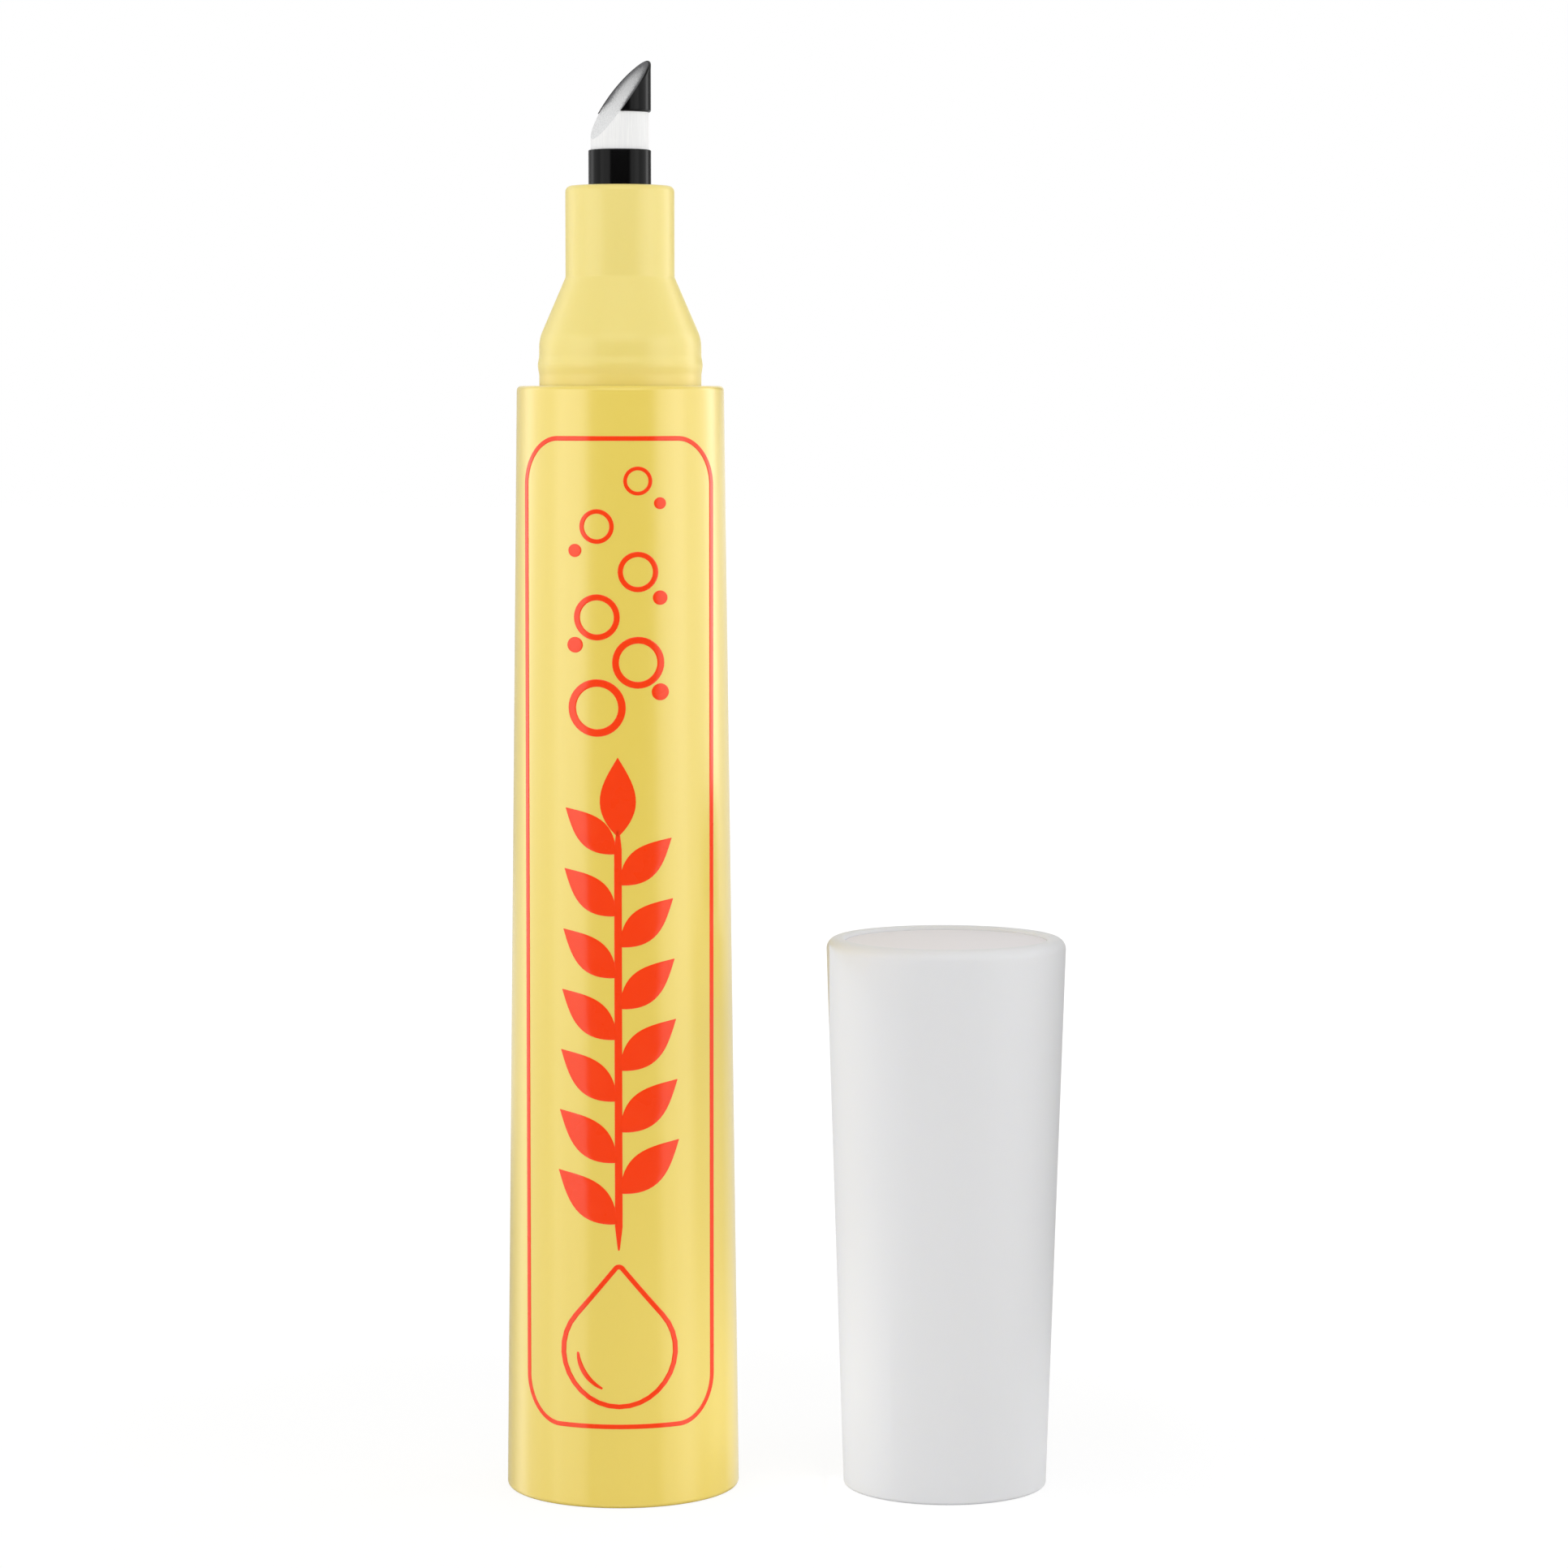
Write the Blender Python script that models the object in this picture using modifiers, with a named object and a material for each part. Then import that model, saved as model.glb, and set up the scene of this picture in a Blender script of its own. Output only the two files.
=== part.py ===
"""A cuticle remover pen with a slanted felt nib, and its pull-off cap standing beside it.

All lengths are metres and +Z is up. The pen stands on its flat end plug with its axis on Z and
its nib at the top. The cap stands mouth down on the same surface, its axis offset along +X.
Everything turned is a profile of (radius, height) corners swept round its axis.
"""

import math

import bmesh
import bpy
from mathutils import Matrix, Vector

MM = 0.001
DEGREE = math.radians(1)

# How finely round shapes are drawn
SIDES = 40
ARC_STEPS = 3
BEAD_STEPS = 6
FACE_STEPS = 16
WELD_DISTANCE = 0.0001 * MM
SMOOTH_ANGLE = 30 * DEGREE
ROUNDING_LIMIT_SHARE = 0.6

# Clearances between pieces that fit together
PRESS_FIT = 0.05 * MM
SKIN_FIT = 0.03 * MM
SLIDE_FIT = 0.1 * MM
SEAT_GAP = 0.2 * MM
OVERRUN = 1.0 * MM

# Barrel: a drafted tube, narrowest at the mouth where the front section snaps in
BARREL_LENGTH = 82.5 * MM
BARREL_TOP_RADIUS = 7.67 * MM
BARREL_FLARE = 1.05 * MM
BARREL_WALL = 1.4 * MM
BARREL_EDGE = 0.3 * MM
SEAT_LENGTH = 4.5 * MM
SNAP_UNDERCUT = 0.22 * MM
BARREL_RIBS = 6
BARREL_RIB_WIDTH = 0.8 * MM
BARREL_RIB_LAND = 0.45 * MM
RIB_ROOT = 0.5 * MM

# End plug: a cup pressed into the open base, flush with the barrel's end
PLUG_LENGTH = 6.0 * MM
PLUG_FLOOR = 1.2 * MM
PLUG_WALL = 1.0 * MM
PLUG_CHAMFER = 0.25 * MM
PLUG_BEAD_HEIGHT = 0.12 * MM
PLUG_BEAD_WIDTH = 1.2 * MM
PLUG_BEAD_LEVEL = 3.4 * MM
PLUG_RIBS = 4
PLUG_RIB_WIDTH = 0.9 * MM
PLUG_RIB_LEVEL = 3.5 * MM
PLUG_RIB_HUB = 2.0 * MM

# Reservoir: a fibre rod in a thin film sleeve
FILM_WALL = 0.08 * MM
NIB_TAIL = 8.0 * MM
FIBRE_EDGE = 0.4 * MM

# Front section: spigot, exposed base with the cap's snap bead, cone and neck
SPIGOT_LENGTH = 8.5 * MM
SPIGOT_BEAD_HEIGHT = 0.18 * MM
SPIGOT_BEAD_WIDTH = 1.0 * MM
SPIGOT_CHAMFER = 0.3 * MM
SECTION_BASE_LENGTH = 3.45 * MM
CONE_LENGTH = 4.55 * MM
CONE_FOOT_ROUNDING = 3.0 * MM
SECTION_WALL = 1.2 * MM
CAP_BEAD_HEIGHT = 0.1 * MM
CAP_BEAD_WIDTH = 1.6 * MM
CAP_BEAD_LEVEL = 1.5 * MM
NECK_RADIUS = 4.03 * MM
NECK_LENGTH = 6.7 * MM
NECK_EDGE = 0.4 * MM
NECK_ROOT_ROUNDING = 0.5 * MM
LIP_THICKNESS = 1.0 * MM
SECTION_FINS = 6
SECTION_FIN_WIDTH = 0.7 * MM
SECTION_FIN_INSET = 2.0 * MM
SECTION_FIN_ROOT = 0.4 * MM

# Nib: felt core, black sleeve that grips it and black skin round its tip
FELT_RADIUS = 2.14 * MM
FELT_TAIL_EDGE = 0.3 * MM
SLEEVE_WALL = 0.15 * MM
SLEEVE_STAND = 2.63 * MM
SLEEVE_REACH = 2.5 * MM
SLEEVE_EDGE = 0.07 * MM
FLANGE_WIDTH = 0.58 * MM
FLANGE_THICKNESS = 0.8 * MM
WINDOW_HEIGHT = 2.74 * MM
TIP_HEEL_HEIGHT = 0.8 * MM
TIP_APEX_HEIGHT = 6.8 * MM
TIP_FLAT = 0.3 * MM
TIP_FACE_RADIUS = 50.0 * MM
TIP_FACE_TURN = 25.0 * DEGREE

# Cap: a flared shell with a snap ring at the mouth and an inset end disc
CAP_GAP = 6.53 * MM
CAP_HEIGHT = 41.4 * MM
CAP_MOUTH_STEP = 0.05 * MM
CAP_FLARE = 1.38 * MM
CAP_FIT = 0.35 * MM
CAP_SNAP_BITE = 0.07 * MM
CAP_SNAP_SPACING = 1.2 * MM
CAP_SNAP_WIDTH = 1.4 * MM
CAP_MOUTH_EDGE = 0.2 * MM
CAP_RIM_WIDTH = 1.4 * MM
CAP_RIM_HEIGHT = 0.3 * MM
CAP_OUTER_ROUNDING = 0.8 * MM
CAP_INNER_ROUNDING = 0.25 * MM
CAP_LEDGE = 0.5 * MM
CAP_RIBS = 6
CAP_RIB_WIDTH = 0.9 * MM
DISC_THICKNESS = 1.2 * MM
DISC_EDGE = 0.08 * MM
LINER_WALL = 0.85 * MM
LINER_STANDOFF = 1.0 * MM
LINER_FLANGE_GAP = 0.4 * MM
LINER_FLANGE_THICKNESS = 1.0 * MM
LINER_ROUNDING = 0.6 * MM
LINER_HEADROOM = 1.5 * MM

# Sizes that follow from the ones above
BARREL_BASE_RADIUS = BARREL_TOP_RADIUS + BARREL_FLARE
SEAT_RADIUS = BARREL_TOP_RADIUS - BARREL_WALL - SNAP_UNDERCUT
SECTION_BASE_RADIUS = SEAT_RADIUS - PRESS_FIT
SECTION_BORE = SECTION_BASE_RADIUS - SECTION_WALL
SPIGOT_END = BARREL_LENGTH - SPIGOT_LENGTH
SEAT_END = BARREL_LENGTH - SEAT_LENGTH
RIB_EDGE_RADIUS = SECTION_BASE_RADIUS - BARREL_RIB_LAND
FILM_RADIUS = RIB_EDGE_RADIUS - PRESS_FIT
FIBRE_RADIUS = FILM_RADIUS - FILM_WALL - SKIN_FIT
FIBRE_BOTTOM = PLUG_RIB_LEVEL + SEAT_GAP
FIBRE_TOP = SPIGOT_END - SEAT_GAP
NIB_BOTTOM = SPIGOT_END - NIB_TAIL
CONE_FOOT = BARREL_LENGTH + SECTION_BASE_LENGTH
NECK_ROOT = CONE_FOOT + CONE_LENGTH
MOUTH_LEVEL = NECK_ROOT + NECK_LENGTH
LIP_BOTTOM = MOUTH_LEVEL - LIP_THICKNESS
SLEEVE_BORE = FELT_RADIUS + SKIN_FIT
SLEEVE_RADIUS = SLEEVE_BORE + SLEEVE_WALL
SLEEVE_TOP = MOUTH_LEVEL + SLEEVE_STAND
SLEEVE_BOTTOM = NECK_ROOT - SLEEVE_REACH
FLANGE_RADIUS = SLEEVE_RADIUS + FLANGE_WIDTH
FLANGE_TOP = LIP_BOTTOM - PRESS_FIT
NECK_BORE = FLANGE_RADIUS + SLIDE_FIT
TIP_TOP = SLEEVE_TOP + TIP_APEX_HEIGHT
CAP_MOUTH_RADIUS = BARREL_TOP_RADIUS - CAP_MOUTH_STEP
CAP_TOP_RADIUS = CAP_MOUTH_RADIUS + CAP_FLARE
CAP_DISTANCE = BARREL_BASE_RADIUS + CAP_GAP + CAP_TOP_RADIUS
CAP_BORE = SECTION_BASE_RADIUS + CAP_FIT
CAP_SKIRT = SECTION_BASE_LENGTH + CONE_LENGTH + LINER_STANDOFF
CAP_SNAP_LEVEL = CAP_BEAD_LEVEL + CAP_SNAP_SPACING
CAP_SNAP_HEIGHT = CAP_FIT - CAP_BEAD_HEIGHT + CAP_SNAP_BITE
CAP_RECESS_RADIUS = CAP_TOP_RADIUS - CAP_RIM_WIDTH
CAP_LEDGE_RADIUS = CAP_RECESS_RADIUS - CAP_LEDGE
DISC_TOP = CAP_HEIGHT - CAP_RIM_HEIGHT
DISC_BOTTOM = DISC_TOP - DISC_THICKNESS
CAP_LEDGE_LEVEL = DISC_BOTTOM - PRESS_FIT
LINER_BORE = NECK_RADIUS + SKIN_FIT
LINER_RADIUS = LINER_BORE + LINER_WALL
LINER_INNER_TOP = TIP_TOP - BARREL_LENGTH + LINER_HEADROOM
LINER_TOP = LINER_INNER_TOP + LINER_WALL
LINER_FLANGE_RADIUS = CAP_BORE - LINER_FLANGE_GAP
LINER_FLANGE_TOP = CAP_SKIRT + LINER_FLANGE_THICKNESS

# Colour, roughness and metallic value of each material
PAINTS = {
    "yellow_barrel": ((0.80, 0.62, 0.13), 0.35, 0.0),
    "yellow_section": ((0.82, 0.66, 0.22), 0.40, 0.0),
    "black_plastic": ((0.012, 0.012, 0.013), 0.25, 0.0),
    "white_felt": ((0.85, 0.85, 0.83), 0.95, 0.0),
    "reservoir_white": ((0.78, 0.80, 0.80), 0.90, 0.0),
    "clear_film": ((0.70, 0.74, 0.76), 0.15, 0.0),
    "grey_cap": ((0.72, 0.72, 0.72), 0.45, 0.0),
    "natural_liner": ((0.80, 0.80, 0.78), 0.40, 0.0),
}


def clear_scene():
    """Remove whatever the scene holds."""
    for thing in list(bpy.data.objects):
        bpy.data.objects.remove(thing, do_unlink=True)


def make_collection(name):
    """A new collection of the scene."""
    collection = bpy.data.collections.new(name)
    bpy.context.scene.collection.children.link(collection)
    return collection


def make_materials():
    """One Principled material for each entry of the paint table."""
    materials = {}
    for name, (colour, roughness, metallic) in PAINTS.items():
        material = bpy.data.materials.new(name)
        material.use_nodes = True
        shader = material.node_tree.nodes["Principled BSDF"]
        shader.inputs["Base Color"].default_value = (*colour, 1.0)
        shader.inputs["Roughness"].default_value = roughness
        shader.inputs["Metallic"].default_value = metallic
        material.diffuse_color = (*colour, 1.0)
        materials[name] = material
    return materials


def corner_arc(corner, before, after, rounding):
    """The arc that replaces a corner, no longer than the sides that meet there allow."""
    half_angle = before.angle(after) / 2
    reach_limit = ROUNDING_LIMIT_SHARE * min(before.length, after.length)
    reach = min(rounding / math.tan(half_angle), reach_limit)
    bisector = (before.normalized() + after.normalized()).normalized()
    centre = corner + bisector * (reach / math.cos(half_angle))
    first = corner + before.normalized() * reach - centre
    last = corner + after.normalized() * reach - centre
    sweep = first.angle_signed(last)
    start = math.atan2(first.y, first.x)
    points = []
    for step in range(ARC_STEPS + 1):
        angle = start - sweep * step / ARC_STEPS
        points.append(centre + first.length * Vector((math.cos(angle), math.sin(angle))))
    return points


def rounded(corners, closed):
    """The points of an outline through (radius, height, rounding) corners."""
    points = []
    last = len(corners) - 1
    for index, (radius, height, rounding) in enumerate(corners):
        corner = Vector((radius, height))
        is_end = not closed and index in (0, last)
        if rounding == 0 or is_end:
            points.append(corner)
            continue
        following = corners[0] if index == last else corners[index + 1]
        before = Vector(corners[index - 1][:2]) - corner
        after = Vector(following[:2]) - corner
        points.extend(corner_arc(corner, before, after, rounding))
    return points


def bead(radius_at, level, width, height):
    """Corners of a soft ring that stands out from a surface, from its top edge down.

    A negative height makes it stand inward, as a snap ring does in a bore.
    """
    corners = []
    for step in range(BEAD_STEPS + 1):
        offset = 1 - 2 * step / BEAD_STEPS
        z = level + offset * width / 2
        rise = height * (1 + math.cos(math.pi * offset)) / 2
        corners.append((radius_at(z) + rise, z, 0))
    return corners


def turned(name, corners, closed, collection):
    """A body of revolution about Z; an open outline starts and ends on the axis."""
    points = rounded(corners, closed)
    edges = [(index, index + 1) for index in range(len(points) - 1)]
    if closed:
        edges.append((len(points) - 1, 0))
    mesh = bpy.data.meshes.new(name)
    mesh.from_pydata([(point.x, 0, point.y) for point in points], edges, [])
    body = bpy.data.objects.new(name, mesh)
    collection.objects.link(body)
    screw = body.modifiers.new("Turn", "SCREW")
    screw.axis = "Z"
    screw.steps = SIDES
    screw.render_steps = SIDES
    screw.use_merge_vertices = True
    screw.merge_threshold = WELD_DISTANCE
    return body


def evaluated_mesh(body):
    """A new mesh of the body with its modifiers applied."""
    graph = bpy.context.evaluated_depsgraph_get()
    return bpy.data.meshes.new_from_object(body.evaluated_get(graph))


def upright_slab(name, outline, thickness, collection):
    """The mesh of a flat (radius, height) outline in the XZ plane, as thick along Y as given."""
    curve = bpy.data.curves.new(name, "CURVE")
    curve.dimensions = "2D"
    curve.fill_mode = "BOTH"
    curve.extrude = thickness / 2
    spline = curve.splines.new("POLY")
    spline.points.add(len(outline) - 1)
    for point, (radius, height) in zip(spline.points, outline):
        point.co = (radius, height, 0, 1)
    spline.use_cyclic_u = True
    guide = bpy.data.objects.new(name, curve)
    collection.objects.link(guide)
    mesh = evaluated_mesh(guide)
    bpy.data.objects.remove(guide, do_unlink=True)
    mesh.transform(Matrix.Rotation(math.pi / 2, 4, "X"))
    return mesh


def joined_slabs(name, outline, thickness, turns, collection):
    """A hidden tool object: copies of one upright slab, each turned about Z by an angle."""
    slab = upright_slab(name, outline, thickness, collection)
    shape = bmesh.new()
    for turn in turns:
        copy = slab.copy()
        copy.transform(Matrix.Rotation(turn, 4, "Z"))
        shape.from_mesh(copy)
        bpy.data.meshes.remove(copy)
    bmesh.ops.remove_doubles(shape, verts=shape.verts, dist=WELD_DISTANCE)
    mesh = bpy.data.meshes.new(name)
    shape.to_mesh(mesh)
    shape.free()
    bpy.data.meshes.remove(slab)
    tool = bpy.data.objects.new(name, mesh)
    tool.hide_render = True
    tool.display_type = "WIRE"
    collection.objects.link(tool)
    return tool


def even_turns(count):
    """Angles that spread a number of copies evenly round the axis."""
    return [math.tau * index / count for index in range(count)]


def combine(body, tool, operation):
    """Join the tool to the body, or keep what the two share."""
    boolean = body.modifiers.new(tool.name, "BOOLEAN")
    boolean.operation = operation
    boolean.solver = "EXACT"
    boolean.object = tool


def finish(body, material):
    """Apply the modifiers, shade the round faces smooth and give the material."""
    mesh = evaluated_mesh(body)
    body.modifiers.clear()
    body.data = mesh
    mesh.shade_smooth()
    mesh.set_sharp_from_angle(angle=SMOOTH_ANGLE)
    mesh.materials.clear()
    mesh.materials.append(material)


def barrel_outside(height):
    """The barrel's outer radius at a height."""
    return BARREL_BASE_RADIUS - BARREL_FLARE * height / BARREL_LENGTH


def barrel_bore(height):
    """The barrel's inner radius at a height below the section's seat."""
    return barrel_outside(height) - BARREL_WALL


def plug_outside(height):
    """The end plug's outer radius, which follows the bore that it is pressed into."""
    return barrel_bore(height) - PRESS_FIT


def plug_inside(height):
    """The inner radius of the end plug's skirt."""
    return plug_outside(height) - PLUG_WALL


def cap_inside(height):
    """The cap's inner radius: straight at the mouth, then flared up to the disc's ledge."""
    share = max(0, (height - CAP_SKIRT) / (CAP_LEDGE_LEVEL - CAP_SKIRT))
    return CAP_BORE + (CAP_LEDGE_RADIUS - CAP_BORE) * share


def section_outside(_height):
    """The front section's outer radius below its cone, the same at every height."""
    return SECTION_BASE_RADIUS


def cone_bore(height):
    """The front section's inner radius where it narrows towards the neck."""
    foot = CONE_FOOT - SECTION_WALL
    share = (height - foot) / (NECK_ROOT - CONE_FOOT)
    return SECTION_BORE + (NECK_BORE - SECTION_BORE) * share


def build_barrel(parts, tools):
    """The barrel: drafted shell, groove for the plug, undercut for the section, inner ribs."""
    groove = bead(barrel_bore, PLUG_BEAD_LEVEL, PLUG_BEAD_WIDTH, PLUG_BEAD_HEIGHT)
    corners = [
        (SEAT_RADIUS, BARREL_LENGTH, 0),
        (BARREL_TOP_RADIUS, BARREL_LENGTH, BARREL_EDGE),
        (BARREL_BASE_RADIUS, 0, BARREL_EDGE),
        (barrel_bore(0), 0, 0),
        *reversed(groove),
        (barrel_bore(SEAT_END), SEAT_END, 0),
        (SEAT_RADIUS, SEAT_END + SNAP_UNDERCUT, 0),
    ]
    barrel = turned("barrel", corners, True, parts)
    low = PLUG_LENGTH + SEAT_GAP
    high = SPIGOT_END - SEAT_GAP
    outline = [
        (RIB_EDGE_RADIUS, low),
        (barrel_bore(low) + RIB_ROOT, low),
        (barrel_bore(high) + RIB_ROOT, high),
        (RIB_EDGE_RADIUS, high),
    ]
    ribs = joined_slabs("barrel_ribs", outline, BARREL_RIB_WIDTH, even_turns(BARREL_RIBS), tools)
    combine(barrel, ribs, "UNION")
    return barrel


def build_plug(parts, tools):
    """The end plug: a cup with a snap bead and ribs that carry the reservoir."""
    snap = bead(plug_outside, PLUG_BEAD_LEVEL, PLUG_BEAD_WIDTH, PLUG_BEAD_HEIGHT)
    corners = [
        (0, PLUG_FLOOR, 0),
        (plug_inside(PLUG_FLOOR), PLUG_FLOOR, 0),
        (plug_inside(PLUG_LENGTH), PLUG_LENGTH, 0),
        (plug_outside(PLUG_LENGTH) - PLUG_CHAMFER, PLUG_LENGTH, 0),
        (plug_outside(PLUG_LENGTH - PLUG_CHAMFER), PLUG_LENGTH - PLUG_CHAMFER, 0),
        *snap,
        (plug_outside(0), PLUG_CHAMFER, 0),
        (plug_outside(0) - PLUG_CHAMFER, 0, 0),
        (0, 0, 0),
    ]
    plug = turned("end_plug", corners, False, parts)
    low = PLUG_FLOOR / 2
    outline = [
        (PLUG_RIB_HUB, low),
        (plug_inside(low) + PLUG_WALL / 2, low),
        (plug_inside(PLUG_RIB_LEVEL) + PLUG_WALL / 2, PLUG_RIB_LEVEL),
        (PLUG_RIB_HUB, PLUG_RIB_LEVEL),
    ]
    ribs = joined_slabs("plug_ribs", outline, PLUG_RIB_WIDTH, even_turns(PLUG_RIBS), tools)
    combine(plug, ribs, "UNION")
    return plug


def build_film(parts):
    """The film sleeve wrapped round the reservoir."""
    bore = FILM_RADIUS - FILM_WALL
    corners = [
        (FILM_RADIUS, FIBRE_TOP, 0),
        (FILM_RADIUS, FIBRE_BOTTOM, 0),
        (bore, FIBRE_BOTTOM, 0),
        (bore, FIBRE_TOP, 0),
    ]
    return turned("reservoir_film", corners, True, parts)


def build_fibre(parts):
    """The fibre rod that holds the liquid, with the well that takes the nib's tail."""
    well_radius = FELT_RADIUS + SLIDE_FIT
    well_floor = NIB_BOTTOM - SEAT_GAP
    corners = [
        (0, well_floor, 0),
        (well_radius, well_floor, 0),
        (well_radius, FIBRE_TOP, 0),
        (FIBRE_RADIUS, FIBRE_TOP, FIBRE_EDGE),
        (FIBRE_RADIUS, FIBRE_BOTTOM, FIBRE_EDGE),
        (0, FIBRE_BOTTOM, 0),
    ]
    return turned("reservoir_fibre", corners, False, parts)


def build_section(parts, tools):
    """The front section: neck, cone, capping base and the spigot inside the barrel."""
    cap_level = BARREL_LENGTH + CAP_BEAD_LEVEL
    cap_snap = bead(section_outside, cap_level, CAP_BEAD_WIDTH, CAP_BEAD_HEIGHT)
    barrel_level = SEAT_END - PRESS_FIT - SPIGOT_BEAD_WIDTH / 2
    barrel_snap = bead(section_outside, barrel_level, SPIGOT_BEAD_WIDTH, SPIGOT_BEAD_HEIGHT)
    corners = [
        (SLEEVE_RADIUS + PRESS_FIT, MOUTH_LEVEL, 0),
        (NECK_RADIUS, MOUTH_LEVEL, NECK_EDGE),
        (NECK_RADIUS, NECK_ROOT, NECK_ROOT_ROUNDING),
        (SECTION_BASE_RADIUS, CONE_FOOT, CONE_FOOT_ROUNDING),
        *cap_snap,
        *barrel_snap,
        (SECTION_BASE_RADIUS, SPIGOT_END + SPIGOT_CHAMFER, 0),
        (SECTION_BASE_RADIUS - SPIGOT_CHAMFER, SPIGOT_END, 0),
        (SECTION_BORE, SPIGOT_END, 0),
        (SECTION_BORE, CONE_FOOT - SECTION_WALL, 0),
        (NECK_BORE, NECK_ROOT - SECTION_WALL, 0),
        (NECK_BORE, LIP_BOTTOM, 0),
        (SLEEVE_RADIUS + PRESS_FIT, LIP_BOTTOM, 0),
    ]
    section = turned("front_section", corners, True, parts)
    low = SPIGOT_END + SECTION_FIN_INSET
    knee = CONE_FOOT - SECTION_WALL
    high = SLEEVE_BOTTOM - SEAT_GAP
    edge = FELT_RADIUS + PRESS_FIT
    outline = [
        (edge, low),
        (SECTION_BORE + SECTION_FIN_ROOT, low),
        (SECTION_BORE + SECTION_FIN_ROOT, knee),
        (cone_bore(high) + SECTION_FIN_ROOT, high),
        (edge, high),
    ]
    fins = joined_slabs("section_fins", outline, SECTION_FIN_WIDTH, even_turns(SECTION_FINS), tools)
    combine(section, fins, "UNION")
    return section


def build_sleeve(parts):
    """The black sleeve that grips the felt, with the flange that the lip holds back."""
    corners = [
        (SLEEVE_RADIUS, SLEEVE_TOP, SLEEVE_EDGE),
        (SLEEVE_RADIUS, FLANGE_TOP, 0),
        (FLANGE_RADIUS, FLANGE_TOP, 0),
        (FLANGE_RADIUS, FLANGE_TOP - FLANGE_THICKNESS, 0),
        (SLEEVE_RADIUS, FLANGE_TOP - FLANGE_THICKNESS, 0),
        (SLEEVE_RADIUS, SLEEVE_BOTTOM, 0),
        (SLEEVE_BORE, SLEEVE_BOTTOM, 0),
        (SLEEVE_BORE, SLEEVE_TOP, 0),
    ]
    return turned("nib_sleeve", corners, True, parts)


def tip_face_outline():
    """What the tip is ground down to, seen square to the grinding: its upper side is one arc.

    The arc has the face's radius and passes through the heel, on the felt's low side, and the
    apex, on the skin's high side. A narrow flat blunts the apex.
    """
    heel = Vector((-FELT_RADIUS, SLEEVE_TOP + TIP_HEEL_HEIGHT))
    apex = Vector((SLEEVE_RADIUS, TIP_TOP))
    chord = apex - heel
    sagging = Vector((chord.y, -chord.x)).normalized()
    depth = math.sqrt(TIP_FACE_RADIUS**2 - (chord.length / 2) ** 2)
    centre = (heel + apex) / 2 + sagging * depth
    flat_level = TIP_TOP - TIP_FLAT
    start = math.pi - math.asin((flat_level - centre.y) / TIP_FACE_RADIUS)
    end = math.atan2(heel.y - centre.y, heel.x - centre.x) + OVERRUN / TIP_FACE_RADIUS
    arc = []
    for step in range(FACE_STEPS + 1):
        angle = start + (end - start) * step / FACE_STEPS
        across = centre.x + TIP_FACE_RADIUS * math.cos(angle)
        arc.append((across, centre.y + TIP_FACE_RADIUS * math.sin(angle)))
    side = SLEEVE_RADIUS + OVERRUN
    bottom = NIB_BOTTOM - OVERRUN
    return [(side, flat_level), *arc, (arc[-1][0], bottom), (side, bottom)]


def build_nib(parts, tools):
    """The felt core and the black skin round its tip, ground together to one slanted face."""
    blank_top = TIP_TOP + OVERRUN
    felt = turned("felt_nib", [
        (0, blank_top, 0),
        (FELT_RADIUS, blank_top, 0),
        (FELT_RADIUS, NIB_BOTTOM, FELT_TAIL_EDGE),
        (0, NIB_BOTTOM, 0),
    ], False, parts)
    window_top = SLEEVE_TOP + WINDOW_HEIGHT
    skin = turned("pusher_tip", [
        (SLEEVE_RADIUS, blank_top, 0),
        (SLEEVE_RADIUS, window_top, SLEEVE_EDGE),
        (SLEEVE_BORE, window_top, 0),
        (SLEEVE_BORE, blank_top, 0),
    ], True, parts)
    width = 2 * (SLEEVE_RADIUS + OVERRUN)
    grinding = joined_slabs("tip_grinding", tip_face_outline(), width, [TIP_FACE_TURN], tools)
    combine(felt, grinding, "INTERSECT")
    combine(skin, grinding, "INTERSECT")
    return felt, skin


def build_cap_shell(parts, tools):
    """The cap's shell, open at both ends, with its snap ring, ledge and ribs."""
    snap = bead(cap_inside, CAP_SNAP_LEVEL, CAP_SNAP_WIDTH, -CAP_SNAP_HEIGHT)
    corners = [
        (CAP_TOP_RADIUS, CAP_HEIGHT, CAP_OUTER_ROUNDING),
        (CAP_MOUTH_RADIUS, 0, CAP_MOUTH_EDGE),
        (CAP_BORE, 0, CAP_MOUTH_EDGE),
        *reversed(snap),
        (CAP_BORE, CAP_SKIRT, 0),
        (CAP_LEDGE_RADIUS, CAP_LEDGE_LEVEL, 0),
        (CAP_RECESS_RADIUS, CAP_LEDGE_LEVEL, 0),
        (CAP_RECESS_RADIUS, CAP_HEIGHT, CAP_INNER_ROUNDING),
    ]
    shell = turned("cap_shell", corners, True, parts)
    low = LINER_FLANGE_TOP + SEAT_GAP
    high = CAP_LEDGE_LEVEL - SEAT_GAP
    edge = LINER_RADIUS + SLIDE_FIT
    outline = [
        (edge, low),
        (cap_inside(low) + RIB_ROOT, low),
        (cap_inside(high) + RIB_ROOT, high),
        (edge, high),
    ]
    ribs = joined_slabs("cap_ribs", outline, CAP_RIB_WIDTH, even_turns(CAP_RIBS), tools)
    combine(shell, ribs, "UNION")
    return shell


def build_cap_disc(parts):
    """The disc that closes the cap's top, set in below the rim."""
    radius = CAP_RECESS_RADIUS - PRESS_FIT
    corners = [
        (0, DISC_TOP, 0),
        (radius, DISC_TOP, DISC_EDGE),
        (radius, DISC_BOTTOM, 0),
        (0, DISC_BOTTOM, 0),
    ]
    return turned("cap_end_disc", corners, False, parts)


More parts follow.
